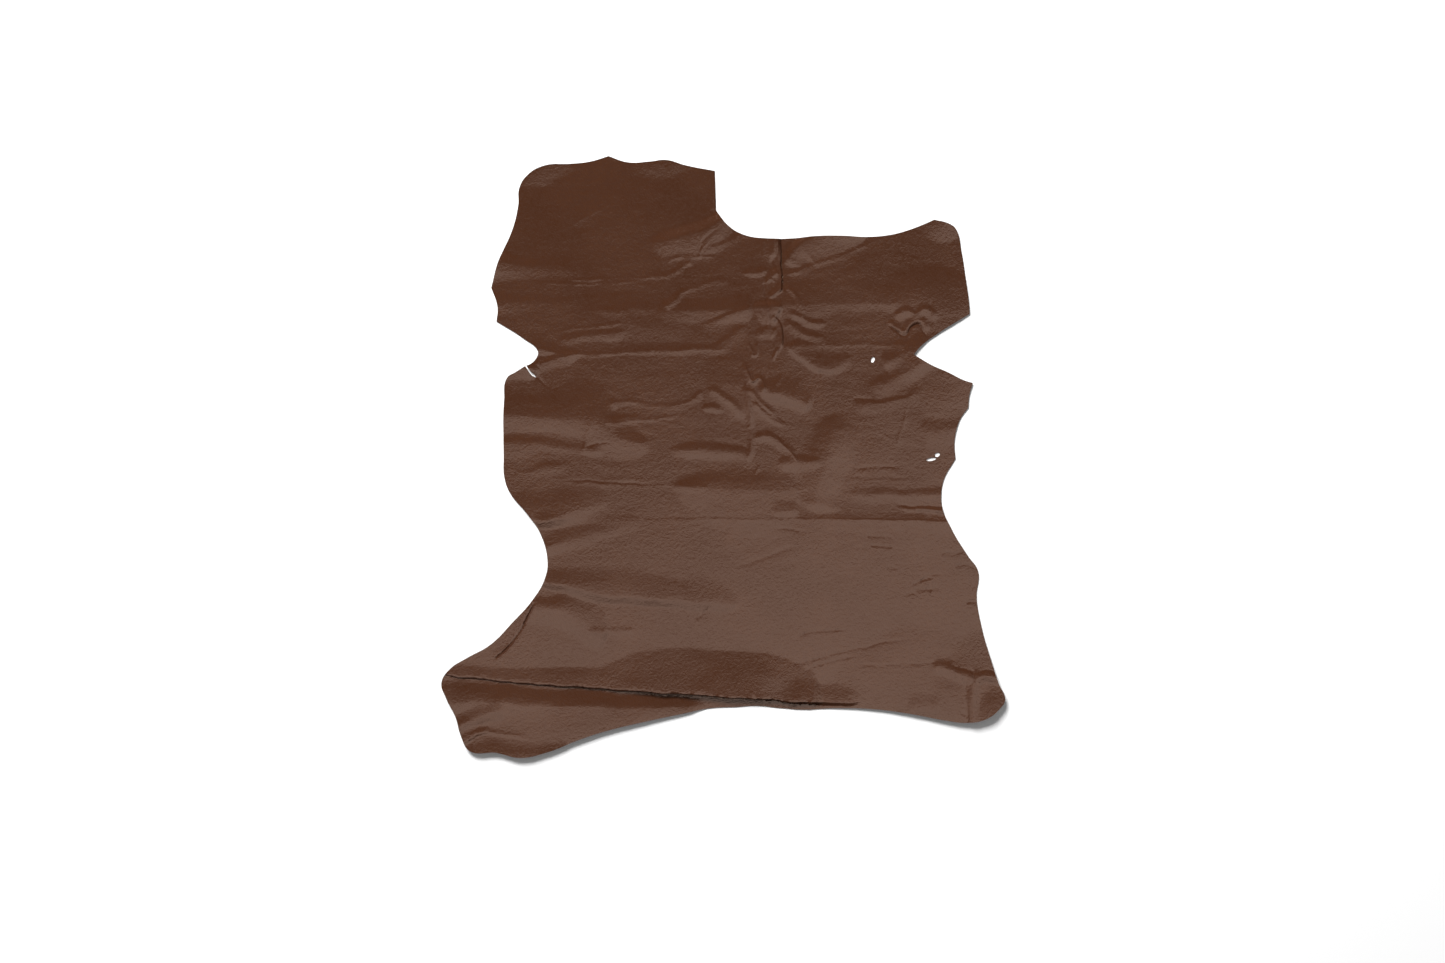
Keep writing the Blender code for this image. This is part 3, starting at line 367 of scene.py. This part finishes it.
# Fine creases of the grain side alone: ridges, and grooves with a height below 0
CREASES = (
    Fold("spine pinch groove", -0.9, 5, 1, 0.8, 0, 4,
         ((781, 232), (781.6, 258), (782.2, 270), (783, 280), (781, 291))),
    Fold("spine groove, left", -0.9, 2, 2, 0.3, 6, 6, ((764, 280), (766, 296), (768, 308), (771, 320))),
    Fold("spine groove, right", -0.8, 2, 2, 0.3, 4, 8,
         ((772, 314), (779, 320), (783.5, 331), (784.5, 342), (783, 350))),
    Fold("belly edge groove", -0.9, 0.8, 12, 0.8, 12, 10,
         ((446, 676), (480, 680.3), (540, 685.4), (600, 689.4), (640, 692.6), (700, 696.4), (760, 700),
          (800, 703.6))),
    Fold("left hind leg pleat groove", -0.6, 1.4, 1, 0.6, 4, 10,
         ((535, 602), (528.5, 617), (519.5, 633), (505.5, 649), (492, 662))),
    Fold("armpit groove", -0.7, 1.8, 1.8, 0.2, 4, 5,
         ((888, 324), (896, 331), (905, 336), (911, 327.5), (918, 325), (922, 331), (929, 339))),
    Fold("armpit groove, right", -0.5, 2, 2, 0.3, 6, 6, ((931, 298), (931.5, 312), (930, 330))),
    Fold("flank valley", -0.5, 3, 3, 0.3, 10, 8, ((850, 398), (880, 399.5), (895, 397), (914, 392))),
    Fold("left flank crease", -0.5, 2, 2, 0.4, 6, 5, ((583, 447), (594, 444), (609, 442))),
    Fold("left belly crease", -0.4, 2, 2, 0.4, 8, 30, ((568, 480), (600, 482), (660, 484.5))),
    Fold("packing line", -0.15, 1.6, 2.2, 0.4, 10, 0, ((640, 517.5), (740, 517.5), (860, 518), (944, 519.5))),
    Fold("belly groove, right", -0.7, 2, 2, 0.4, 10, 0, ((896, 505), (920, 506.5), (944, 508))),
    Fold("tear crease", -0.5, 2, 2, 0.4, 0, 5, ((536, 376), (542, 382), (549, 388))),
    Fold("hock crease 1", -0.45, 2, 2, 0.4, 3, 4, ((912, 586), (920, 581.5), (934, 577.5))),
    Fold("hock crease 2", -0.35, 2, 2, 0.4, 3, 3, ((921, 581), (929, 576), (941, 574))),
    Fold("hock crease 3", -0.4, 3.5, 3, 0.2, 4, 6, ((912, 590), (926, 589), (942, 588))),
    Fold("hock crease 4", -0.45, 1.8, 1.8, 0.3, 2, 2, ((929.5, 583), (930, 594))),
    Fold("hock crease 5", -0.3, 2, 2, 0.4, 3, 3, ((904, 596), (912, 593), (920, 595))),
    Fold("hock crease 6", -0.4, 2, 2, 0.4, 3, 0, ((954, 566), (966, 565), (978, 568))),
    Fold("hock crease 7", -0.4, 2, 2, 0.4, 3, 0, ((940, 553.5), (954, 552.5), (966, 550))),
    Fold("hock crease 8", -0.6, 3, 3, 0.2, 3, 0, ((964, 603), (970, 602), (980, 602))),
    Fold("haunch crease 1", -0.4, 2, 2, 0.4, 4, 4, ((864, 536), (876, 536.5), (891, 538))),
    Fold("haunch crease 2", -0.5, 2, 2, 0.4, 4, 4, ((869, 545), (880, 546), (894, 547.5))),
    Fold("haunch crease 3", -0.3, 2, 2, 0.4, 3, 3, ((886, 567), (898, 568.5))),
    Fold("haunch crease 4", -0.4, 2, 2, 0.4, 5, 12, ((802, 634), (812, 631), (826, 630.5), (850, 629.5))),
    Fold("haunch crease 5", -0.35, 1.8, 1.8, 0.4, 3, 3, ((799, 637), (807, 631))),
    Fold("haunch crease 6", -0.35, 2, 2, 0.4, 8, 12,
         ((788, 665), (812, 660), (830, 655), (850, 650), (874, 644.5), (908, 638.5))),
    Fold("haunch crease 7", -0.3, 2, 2, 0.4, 6, 8, ((804, 672), (818, 665), (834, 661), (856, 656))),
    Fold("haunch crease 8", -0.25, 2, 2, 0.4, 10, 10, ((856, 665), (896, 664), (940, 662))),
    Fold("rump crease 1", -0.3, 3, 3, 0.3, 8, 8, ((736, 567), (758, 560), (776, 553), (798, 546))),
    Fold("rump crease 2", -0.35, 2, 2, 0.4, 5, 6, ((774, 527.5), (788, 529), (804, 531.5))),
    Fold("rump crease 3", -0.3, 2, 2, 0.4, 3, 4, ((694, 618), (704, 612), (714, 604))),
    Fold("back crease 1", -0.4, 2, 2, 0.4, 6, 6, ((856, 468.5), (875, 467), (900, 468))),
    Fold("back crease 2", -0.25, 2, 2, 0.4, 10, 10, ((850, 476), (880, 477), (914, 478))),
    Fold("back crease 3", 0.3, 2, 2, 0.4, 4, 4, ((878, 432), (886, 437), (894, 440))),
    Fold("back crease 4", 0.35, 2, 2, 0.4, 4, 4, ((907, 404), (905, 420), (900, 436), (896, 447))),
    Fold("spine bead 1", 0.5, 2.2, 2.2, 0.4, 0, 6, ((774, 238), (774.5, 250), (773, 260))),
    Fold("spine bead 2", 0.6, 2, 2, 0.3, 3, 3, ((767, 272), (772, 270), (778, 271))),
    Fold("spine bead 3", 0.6, 2, 2, 0.3, 3, 3, ((765, 284), (770, 279), (776, 283))),
    Fold("spine bead 4", 0.6, 2, 2, 0.4, 3, 3, ((769, 297), (776, 291.5), (783, 288.5))),
    Fold("spine bead 5", 0.8, 2.4, 2.4, 0.3, 3, 3, ((748, 342), (752, 351), (753.5, 356), (757, 343))),
    Fold("spine bead 6", 0.8, 2.4, 2.4, 0.3, 3, 3, ((781, 348), (776, 353), (773, 361))),
    Fold("spine bead 7", 0.6, 2, 2, 0.4, 3, 3, ((744, 366), (748, 375), (753, 382), (759, 378), (764, 392))),
    Fold("spine bead 8", 0.4, 2, 2, 0.4, 4, 4, ((744, 386), (747, 402), (750, 424))),
    Fold("spine bead 9", 0.4, 2, 2, 0.4, 3, 3, ((747, 430), (751, 424))),
    Fold("spine bead 10", 0.5, 2, 2, 0.4, 4, 5, ((753, 401), (764, 411), (778, 418))),
    Fold("spine bead 11", 0.4, 2, 2, 0.4, 4, 5, ((764, 404), (774, 414), (788, 428))),
    Fold("spine bead 12", 0.4, 2, 2, 0.4, 3, 3, ((754, 474), (761, 464))),
    Fold("spine bead 13", 0.5, 2, 2, 0.4, 3, 3, ((776, 437), (786, 448), (797, 461))),
    Fold("spine bead 14", 0.4, 2, 2, 0.4, 3, 3, ((774, 385), (780, 380), (782, 372))),
    Fold("neck crease", -0.5, 2, 2, 0.3, 3, 3, ((700, 243), (708, 236), (716, 228))),
    Fold("neck line 1", 0.25, 2.5, 2.5, 0.3, 4, 4, ((574, 224.5), (587, 217), (603, 210))),
    Fold("neck line 2", 0.4, 2.5, 2.5, 0.3, 5, 5, ((664, 262), (678, 257.5), (696, 257), (716, 258))),
    Fold("neck line 3", 0.4, 2, 2, 0.3, 3, 3, ((698, 258), (702, 249), (709, 242))),
    Fold("shoulder line 1", 0.3, 2, 2, 0.4, 10, 10, ((540, 283), (590, 284), (640, 281))),
    Fold("shoulder line 2", 0.35, 2.5, 2.5, 0.3, 10, 10, ((560, 331), (590, 328), (626, 322))),
    Fold("flank line", 0.4, 2.5, 2.5, 0.4, 12, 8, ((600, 424.5), (632, 421), (656, 419), (680, 416))),
    Fold("foot crease 1", -0.6, 2.5, 2.5, 0.3, 5, 3, ((950, 664), (964, 669), (976, 673))),
    Fold("foot crease 2", -0.6, 2.5, 2.5, 0.3, 3, 0, ((976, 673), (986, 670), (1000, 675))),
    Fold("foot crease 3", -0.5, 3, 3, 0.2, 4, 0, ((966, 680), (966.5, 700), (966, 724))),
    Fold("foot crease 4", -0.4, 2, 2, 0.4, 3, 3, ((958, 708), (963, 714), (968, 717))),
    Fold("edge pinch", 0.5, 3, 3, 0.2, 2, 0, ((810, 700), (811, 710))),
)

# Broad rises of the sheet: centre, half length, half width, turn from the x axis, height in mm
Swell = namedtuple("Swell", "name x y half_length half_width turn_degrees height")
SWELLS = (
    Swell("nape", 600, 212, 110, 60, 0, 1.0),
    Swell("neck end", 660, 156, 44, 24, 0, 2.4),
    Swell("left shoulder", 626, 318, 104, 36, 0, 1.4),
    Swell("withers", 768, 338, 70, 112, 0, 1.4),
    Swell("right shoulder", 850, 285, 96, 44, -6, 1.0),
    Swell("right foreleg", 936, 298, 60, 36, 0, 3.2),
    Swell("right foreleg corner", 944, 210, 34, 36, 0, 4.0),
    Swell("right hind leg", 925, 750, 125, 135, 0, 6.2),
    Swell("neck corner", 540, 156, 46, 32, -20, 3.6),
    Swell("back", 744, 388, 66, 42, 0, 1.3),
    Swell("right back", 892, 424, 70, 66, 0, 1.4),
    Swell("right flank flap", 956, 364, 52, 70, 0, 3.3),
    Swell("rump", 760, 470, 70, 44, 0, 0.8),
    Swell("left haunch", 590, 566, 70, 44, 0, 0.8),
    Swell("left foot", 466, 744, 34, 26, 20, 1.4),
    Swell("right foot", 1006, 730, 80, 110, 0, 6.6),
    Swell("right foot tip", 1002, 738, 34, 56, 0, 5.5),
)


def smooth_path(knots, step, corners=(), closed=False):
    """Points about a step apart on a Bezier spline through the knots, which turns sharply at corners."""
    curve = bpy.data.curves.new("path", "CURVE")
    spline = curve.splines.new("BEZIER")
    spline.bezier_points.add(len(knots) - 1)
    for index, (knot, place) in enumerate(zip(spline.bezier_points, knots)):
        kind = "VECTOR" if index in corners else "AUTO"
        knot.co = (*place, 0)
        knot.handle_left_type = kind
        knot.handle_right_type = kind
    spline.use_cyclic_u = closed
    bends = list(spline.bezier_points)
    pairs = zip(bends, bends[1:] + bends[:1] if closed else bends[1:])
    points = []
    for start, end in pairs:
        pieces = max(1, round((end.co - start.co).length / step))
        span = geometry.interpolate_bezier(
            start.co, start.handle_right, end.handle_left, end.co, pieces + 1
        )
        points += [(point.x, point.y) for point in span[:-1]]
    if not closed:
        points.append(tuple(knots[-1]))
    bpy.data.curves.remove(curve)
    return points


def outline_points():
    """The skin's edge, clockwise in the drawing."""
    knots = []
    corners = []
    for _name, *points in OUTLINE:
        corners.append(len(knots))
        knots += points
    return smooth_path(knots, RIM_STEP, corners, closed=True)


def hole_points(hole):
    """The edge of an oval hole."""
    count = round(math.pi * (hole.half_length + hole.half_width) / HOLE_STEP)
    turn = math.radians(hole.turn_degrees)
    points = []
    for index in range(count):
        angle = 2 * math.pi * index / count
        along = hole.half_length * math.cos(angle)
        across = hole.half_width * math.sin(angle)
        points.append((
            hole.x + along * math.cos(turn) - across * math.sin(turn),
            hole.y + along * math.sin(turn) + across * math.cos(turn),
        ))
    return points


def is_inside(loop, x, y):
    """Whether each point lies inside the closed loop, by counting the edges to its right."""
    inside = np.zeros(np.shape(x), bool)
    for (ax, ay), (bx, by) in zip(loop, loop[1:] + loop[:1]):
        if ay != by:
            crosses = (ay > y) != (by > y)
            inside ^= crosses & (x < ax + (y - ay) * (bx - ax) / (by - ay))
    return inside


def along_and_off(path, x, y):
    """How far along the path each point is, and how far off it, positive to the left."""
    nearest = np.full(np.shape(x), np.inf)
    along = np.zeros(np.shape(x))
    off = np.zeros(np.shape(x))
    run = 0.0
    for (ax, ay), (bx, by) in zip(path, path[1:]):
        dx, dy = bx - ax, by - ay
        length = math.hypot(dx, dy)
        share = np.clip(((x - ax) * dx + (y - ay) * dy) / length**2, 0, 1)
        off_x = x - ax - share * dx
        off_y = y - ay - share * dy
        distance = np.hypot(off_x, off_y)
        nearer = distance < nearest
        side = np.where(dy * off_x - dx * off_y >= 0, 1.0, -1.0)
        nearest = np.where(nearer, distance, nearest)
        along = np.where(nearer, run + share * length, along)
        off = np.where(nearer, side * distance, off)
        run += length
    return along, off, run


def ease(share):
    """Goes smoothly from 0 to 1 as the share does."""
    share = np.clip(share, 0, 1)
    return share * share * (3 - 2 * share)


def cloud(x, y, length, width, seed):
    """Smooth noise of about -0.5 to 0.5, with patches of a length along x and a width along y."""
    return np.array(
        [noise.noise(Vector((a / length, b / width, seed))) for a, b in zip(x, y)]
    )


def strayed(x, y, way=1):
    """The drawn place of what lies at each point, since the folds stray from their drawn paths."""
    return (
        x + way * STRAY * cloud(x, y, STRAY_LENGTH, STRAY_LENGTH, STRAY_SEEDS[0]),
        y + way * STRAY * cloud(x, y, STRAY_LENGTH, STRAY_LENGTH, STRAY_SEEDS[1]),
    )


def waver(name, along):
    """How the height of a fold changes along it, about 1."""
    steps = np.arange(0, along.max() + WAVER_LENGTH, WAVER_LENGTH / 4)
    seed = sum(ord(letter) for letter in name) / 10
    return 1 + WAVER * np.interp(along, steps, cloud(steps, steps * 0, WAVER_LENGTH, 1, seed))


def at_knots(fold, value, along, length):
    """A fold's value at each point: the same all along, or given for each knot of its path."""
    if not isinstance(value, tuple):
        return value
    chords = [math.dist(a, b) for a, b in zip(fold.path, fold.path[1:])]
    runs = np.concatenate([[0], np.cumsum(chords)])
    return np.interp(along * runs[-1] / length, runs, value)


def flank(sharp, reach):
    """The share of its height that a fold keeps at a share of its width.

    The kinds are a shoulder, a round crest, straight flanks and hollow ones, half a step of
    sharpness apart.
    """
    kinds = (1 - reach**3, np.cos(reach * math.pi / 2) ** 2, 1 - reach, (1 - reach) ** 2)
    place = 2 * sharp + 1
    first = min(int(place), 2)
    return kinds[first] + (place - first) * (kinds[first + 1] - kinds[first])


def fold_height(fold, x, y):
    """Height of a fold at each point: it narrows where it rises and dies out."""
    along, off, length = along_and_off(FOLD_PATHS[fold.name], x, y)
    left = at_knots(fold, fold.left, along, length)
    right = at_knots(fold, fold.right, along, length)
    strength = np.ones(along.shape)
    if fold.rise:
        strength *= ease(along / fold.rise)
    if fold.fall:
        strength *= ease((length - along) / fold.fall)
    width = TAPERED_WIDTH + (1 - TAPERED_WIDTH) * strength
    reach = np.clip(np.where(off >= 0, off / left, -off / right) / width, 0, 1)
    left_sharp, right_sharp = fold.sharp if isinstance(fold.sharp, tuple) else (fold.sharp,) * 2
    shape = np.where(off >= 0, flank(left_sharp, reach), flank(right_sharp, reach))
    height = at_knots(fold, fold.height, along, length)
    return height * shape * strength * waver(fold.name, along)


def folds_height(folds, x, y):
    """The sum of the folds at each point, each worked out only where it reaches."""
    raised = np.zeros(np.shape(x))
    for fold in folds:
        reach = max(np.max(fold.left), np.max(fold.right))
        path = np.array(FOLD_PATHS[fold.name])
        low, high = path.min(axis=0) - reach, path.max(axis=0) + reach
        near = (x > low[0]) & (x < high[0]) & (y > low[1]) & (y < high[1])
        if near.any():
            raised[near] += fold_height(fold, x[near], y[near])
    return raised


def swell_height(swell, x, y):
    """Height of a swell at each point: a low dome over its oval."""
    turn = math.radians(swell.turn_degrees)
    dx, dy = x - swell.x, y - swell.y
    along = (dx * math.cos(turn) + dy * math.sin(turn)) / swell.half_length
    across = (dy * math.cos(turn) - dx * math.sin(turn)) / swell.half_width
    return swell.height * np.clip(1 - along**2 - across**2, 0, 1) ** SWELL_POWER


def roll_height(x, y):
    """The slow unevenness of a sheet that was never quite flat."""
    return ROLL_HEIGHT * cloud(x, y, ROLL_LENGTH, ROLL_LENGTH, ROLL_SEED)


def sheet_height(x, y):
    """Height of the flesh side above the surface, in millimetres, 0 where the skin lies flat."""
    drawn = strayed(x, y)
    raised = roll_height(x, y) - SLACK + folds_height(FOLDS, *drawn)
    for swell in SWELLS:
        raised += swell_height(swell, *drawn)
    landing = np.clip(raised, 0, LANDING)
    return landing**2 / (2 * LANDING) + np.clip(raised - LANDING, 0, None)


def wrinkle_height(x, y):
    """Small soft wrinkles of the grain side, fainter on the smooth rump, in millimetres."""
    share = RUMP_SHARE + (1 - RUMP_SHARE) * ease((RUMP_Y - y) / RUMP_FADE)
    raised = np.zeros(np.shape(x))
    for seed, wrinkles in enumerate(WRINKLES):
        folded = np.abs(cloud(x, y, wrinkles.length, wrinkles.width, WRINKLE_SEED + seed))
        raised += wrinkles.height * (WRINKLE_LEVEL - folded)
    return raised * share


def grain_height(x, y):
    """Height of the grain side above the surface, in millimetres."""
    flesh = sheet_height(x, y)
    pressed = folds_height(CREASES, *strayed(x, y)) + wrinkle_height(x, y)
    return flesh + THICKNESS / MM + np.clip(pressed, -DEEPEST_CREASE * THICKNESS / MM, None)


def crest_runs(folds, rim, holes):
    """The stretches of the fold crests that lie well inside the skin, as lists of points."""
    runs = []
    for fold in folds:
        x, y = strayed(*np.array(FOLD_PATHS[fold.name]).T, way=-1)
        path = list(zip(x, y))
        clear = is_inside(rim, x, y)
        for loop in (rim, *holes):
            clear &= np.abs(along_and_off(loop + loop[:1], x, y)[1]) > RIM_CLEARANCE
        run = []
        for point, kept in zip(path, clear):
            if kept:
                run.append(point)
            elif run:
                runs.append(run)
                run = []
        if run:
            runs.append(run)
    return runs


def grid_points(height_at, steps, bends, crests, rim, holes):
    """Points inside the skin, closer together where it bends more."""
    finest = steps[-1]
    lows = np.min(rim, axis=0)
    highs = np.max(rim, axis=0)
    columns, rows = np.meshgrid(
        np.arange(lows[0] + finest, highs[0], finest),
        np.arange(lows[1] + finest, highs[1], finest),
    )
    shape = columns.shape
    row, column = np.indices(shape)
    inside = is_inside(rim, columns, rows)
    for hole in holes:
        inside &= ~is_inside(hole, columns, rows)
    height = np.zeros(shape)
    height[inside] = height_at(columns[inside], rows[inside])
    padded = np.pad(height, 1, mode="edge")
    beside = padded[1:-1, :-2] + padded[1:-1, 2:]
    above = padded[:-2, 1:-1] + padded[2:, 1:-1]
    bend = np.maximum(np.abs(beside - 2 * height), np.abs(above - 2 * height))
    kept = np.zeros(shape, bool)
    for step, least_bend in zip(steps, bends):
        every = step // finest
        kept |= (row % every == 0) & (column % every == 0) & (bend >= least_bend)
    kept &= inside
    x, y = columns[kept], rows[kept]
    clear = np.ones(x.shape, bool)
    for loop in (rim, *holes):
        clear &= np.abs(along_and_off(loop + loop[:1], x, y)[1]) > RIM_CLEARANCE
    for run in crests:
        if len(run) > 1:
            low = np.min(run, axis=0) - CREST_MARGIN
            high = np.max(run, axis=0) + CREST_MARGIN
            near = (x > low[0]) & (x < high[0]) & (y > low[1]) & (y < high[1])
            clear[near] &= np.abs(along_and_off(run, x[near], y[near])[1]) > CREST_CLEARANCE
    return list(zip(x[clear], y[clear]))


def side(height_at, folds, steps, bends, rim, holes):
    """One side of the leather: its points, its triangles, and the loops of its rim and holes."""
    crests = crest_runs(folds, rim, holes)
    flat = []
    loops = []
    for loop in (rim, *holes):
        loops.append(list(range(len(flat), len(flat) + len(loop)))[::-1])
        flat += loop
    edges = []
    for run in crests:
        edges += [(len(flat) + index, len(flat) + index + 1) for index in range(len(run) - 1)]
        flat += run
    flat += grid_points(height_at, steps, bends, crests, rim, holes)
    drawn = [Vector((x, -y)) for x, y in flat]
    points, _, triangles, made_from, _, sources = geometry.delaunay_2d_cdt(
        drawn, edges, loops, INSIDE_THE_RIM, MERGE_DISTANCE
    )
    x = np.array([point.x for point in points])
    y = -np.array([point.y for point in points])
    place = {}
    for index, origins in enumerate(made_from):
        for origin in origins:
            place[origin] = index
    kept = [tuple(t) for t, source in zip(triangles, sources) if source == [0]]
    return x, y, kept, [[place[index] for index in loop] for loop in loops]


def leather_mesh():
    """The closed mesh of the sheet: grain side, flesh side and the cut edge between them."""
    rim = outline_points()
    holes = [hole_points(hole) for hole in HOLES]
    top_x, top_y, top_faces, top_loops = side(
        grain_height, FOLDS + CREASES, TOP_STEPS, TOP_BENDS, rim, holes
    )
    low_x, low_y, low_faces, low_loops = side(
        sheet_height, FOLDS, UNDER_STEPS, UNDER_BENDS, rim, holes
    )
    top_z = grain_height(top_x, top_y)
    low_z = sheet_height(low_x, low_y)
    x = np.concatenate([top_x, low_x])
    y = np.concatenate([top_y, low_y])
    z = np.concatenate([top_z, low_z])
    shift = len(top_x)
    faces = list(top_faces)
    faces += [tuple(index + shift for index in face[::-1]) for face in low_faces]
    walls = []
    for above, below in zip(top_loops, low_loops):
        for index in range(len(above)):
            a, b = above[index - 1], above[index]
            c, d = below[index] + shift, below[index - 1] + shift
            walls.append((b, a, d, c))
    used = sorted({index for face in faces for index in face})
    new_index = {old: new for new, old in enumerate(used)}
    mesh = bpy.data.meshes.new("leather_sheet")
    mesh.from_pydata(
        [
            ((x[i] - DRAWN_CENTRE[0]) * PIXEL, (DRAWN_CENTRE[1] - y[i]) * PIXEL, z[i] * MM)
            for i in used
        ],
        [],
        [tuple(new_index[index] for index in face) for face in faces + walls],
    )
    slots = np.zeros(len(faces) + len(walls), np.int32)
    slots[len(top_faces):len(faces)] = 1
    slots[len(faces):] = 2
    mesh.polygons.foreach_set("material_index", slots)
    mesh.shade_smooth()
    mesh.set_sharp_from_angle(angle=math.radians(SHARP_DEGREES))
    return mesh


def node(tree, kind, inputs=(), **settings):
    """A shader node with its settings and the values or links of its inputs."""
    made = tree.nodes.new(kind)
    for name, value in settings.items():
        setattr(made, name, value)
    for name, value in dict(inputs).items():
        if isinstance(value, bpy.types.NodeSocket):
            tree.links.new(value, made.inputs[name])
        else:
            made.inputs[name].default_value = value
    return made


def new_material(name):
    """A new material, with its node tree and its shader."""
    material = bpy.data.materials.new(name)
    material.use_nodes = True
    tree = material.node_tree
    shader = tree.nodes["Principled BSDF"]
    return material, tree, shader


def noise_at(tree, place, kind):
    """The noise of a kind of mottle or relief."""
    inputs = {"Vector": place, "Scale": kind.scale, "Detail": kind.detail}
    return node(tree, "ShaderNodeTexNoise", inputs).outputs["Fac"]


def mottle(tree, place, kind):
    """A noise that runs from 0 to 1 between the low and the high share of its range."""
    spread = node(
        tree,
        "ShaderNodeMapRange",
        {"Value": noise_at(tree, place, kind), "From Min": kind.low, "From Max": kind.high},
        interpolation_type="SMOOTHSTEP",
    )
    return spread.outputs["Result"]


def mixed(tree, share, first, second):
    """A colour between the first and the second.

    The node names its sockets alike for each type of value, so those for colours go by number.
    """
    mix = node(tree, "ShaderNodeMix", data_type="RGBA")
    for index, value in ((0, share), (6, first), (7, second)):
        if isinstance(value, bpy.types.NodeSocket):
            tree.links.new(value, mix.inputs[index])
        else:
            mix.inputs[index].default_value = value
    return mix.outputs[2]


def relief_normal(tree, height, kind, below=None):
    """The surface's direction with a relief of this height on it, over the relief below."""
    inputs = {"Height": height, "Strength": kind.strength, "Distance": kind.depth}
    if below is not None:
        inputs["Normal"] = below
    return node(tree, "ShaderNodeBump", inputs).outputs["Normal"]


def grain_material():
    """Glazed goat grain: fine pebbles, brown dye that lies unevenly, and a soft sheen."""
    material, tree, shader = new_material("goat_grain")
    place = node(tree, "ShaderNodeTexCoord").outputs["Object"]
    cloudy = mottle(tree, place, DYE_CLOUDS)
    speckle = mottle(tree, place, GRAIN_SPECKLES)
    colour = mixed(tree, cloudy, GRAIN_DARK, GRAIN_LIGHT)
    colour = mixed(tree, speckle, colour, GRAIN_SPECKLE)
    tree.links.new(colour, shader.inputs["Base Color"])
    pebbles = node(
        tree, "ShaderNodeTexVoronoi", {"Vector": place, "Scale": PEBBLES.scale}, feature="SMOOTH_F1"
    )
    normal = relief_normal(tree, pebbles.outputs["Distance"], PEBBLES)
    for kind in (PORES, COARSE_GRAIN):
        normal = relief_normal(tree, noise_at(tree, place, kind), kind, normal)
    tree.links.new(normal, shader.inputs["Normal"])
    shader.inputs["Roughness"].default_value = GRAIN_ROUGHNESS
    shader.inputs["Specular Tint"].default_value = GRAIN_SHEEN_TINT
    shader.inputs["Specular IOR Level"].default_value = GRAIN_SPECULAR
    return material


def flesh_material():
    """The flesh side: a paler, matt suede nap."""
    material, tree, shader = new_material("goat_flesh")
    place = node(tree, "ShaderNodeTexCoord").outputs["Object"]
    nap = mottle(tree, place, FLESH_NAP)
    tree.links.new(mixed(tree, nap, FLESH_DARK, FLESH_LIGHT), shader.inputs["Base Color"])
    normal = relief_normal(tree, noise_at(tree, place, FLESH_FIBRES), FLESH_FIBRES)
    tree.links.new(normal, shader.inputs["Normal"])
    shader.inputs["Roughness"].default_value = FLESH_ROUGHNESS
    shader.inputs["Specular IOR Level"].default_value = FLESH_SPECULAR
    return material


def edge_material():
    """The raw cut edge, a little paler than the grain."""
    material, tree, shader = new_material("cut_edge")
    place = node(tree, "ShaderNodeTexCoord").outputs["Object"]
    fibres = mottle(tree, place, EDGE_FIBRES)
    tree.links.new(mixed(tree, fibres, EDGE_DARK, EDGE_LIGHT), shader.inputs["Base Color"])
    shader.inputs["Roughness"].default_value = EDGE_ROUGHNESS
    return material


def leather_sheet():
    """The dressed skin, and what it stands for in the frame."""
    sheet = bpy.data.objects.new("leather_sheet", leather_mesh())
    for material in (grain_material(), flesh_material(), edge_material()):
        sheet.data.materials.append(material)
    bpy.context.scene.collection.objects.link(sheet)
    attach(sheet, "root")
    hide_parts("goatskin")
    return sheet


def floor():
    """A plain white table top, wide enough to fill the view."""
    mesh = bpy.data.meshes.new("table_top")
    far = TABLE_REACH
    mesh.from_pydata(
        [(-far, -far, 0), (far, -far, 0), (far, far, 0), (-far, far, 0)],
        [],
        [(0, 1, 2, 3)],
    )
    top = bpy.data.objects.new("table_top", mesh)
    material, _tree, shader = new_material("white_table")
    shader.inputs["Base Color"].default_value = TABLE_WHITE
    shader.inputs["Roughness"].default_value = TABLE_ROUGHNESS
    mesh.materials.append(material)
    bpy.context.scene.collection.objects.link(top)
    top.location.z = -TABLE_GAP
    top.visible_glossy = False


def softbox(name, place, faces, size, power, turn_degrees, glossy, diffuse):
    """A rectangular soft light at a place, facing another, turned about the line between them."""
    data = bpy.data.lights.new(name, "AREA")
    data.shape = "RECTANGLE"
    data.size, data.size_y = size
    data.energy = power
    light = bpy.data.objects.new(name, data)
    light.location = place
    light.rotation_mode = "QUATERNION"
    light.rotation_quaternion = (Vector(place) - Vector(faces)).to_track_quat("Z", "Y")
    light.rotation_quaternion @= Quaternion((0, 0, 1), math.radians(turn_degrees))
    light.visible_glossy = glossy
    light.visible_diffuse = diffuse
    light.visible_camera = False
    bpy.context.scene.collection.objects.link(light)
    return light


def lights():
    """The soft boxes, and a weak even fill that gives no sheen."""
    for box in SOFTBOXES:
        softbox(*box)
    world = bpy.data.worlds.new("studio")
    world.use_nodes = True
    world.node_tree.nodes["Background"].inputs["Color"].default_value = FILL_WHITE
    world.node_tree.nodes["Background"].inputs["Strength"].default_value = FILL_STRENGTH
    world.cycles_visibility.glossy = False
    bpy.context.scene.world = world


def camera():
    """Straight above, framing the skin as the photograph does."""
    data = bpy.data.cameras.new("camera")
    data.lens = LENS
    eye = bpy.data.objects.new("camera", data)
    width = PHOTO_SIZE[0] * PIXEL
    height = width * data.lens / data.sensor_width
    eye.location = (
        (PHOTO_CENTRE[0] - DRAWN_CENTRE[0]) * PIXEL,
        (DRAWN_CENTRE[1] - PHOTO_CENTRE[1]) * PIXEL,
        height,
    )
    bpy.context.scene.collection.objects.link(eye)
    bpy.context.scene.camera = eye


FOLD_PATHS = {fold.name: smooth_path(fold.path, CREST_STEP) for fold in FOLDS + CREASES}
leather_sheet()
floor()
lights()
camera()
bpy.context.scene.view_settings.view_transform = "Standard"
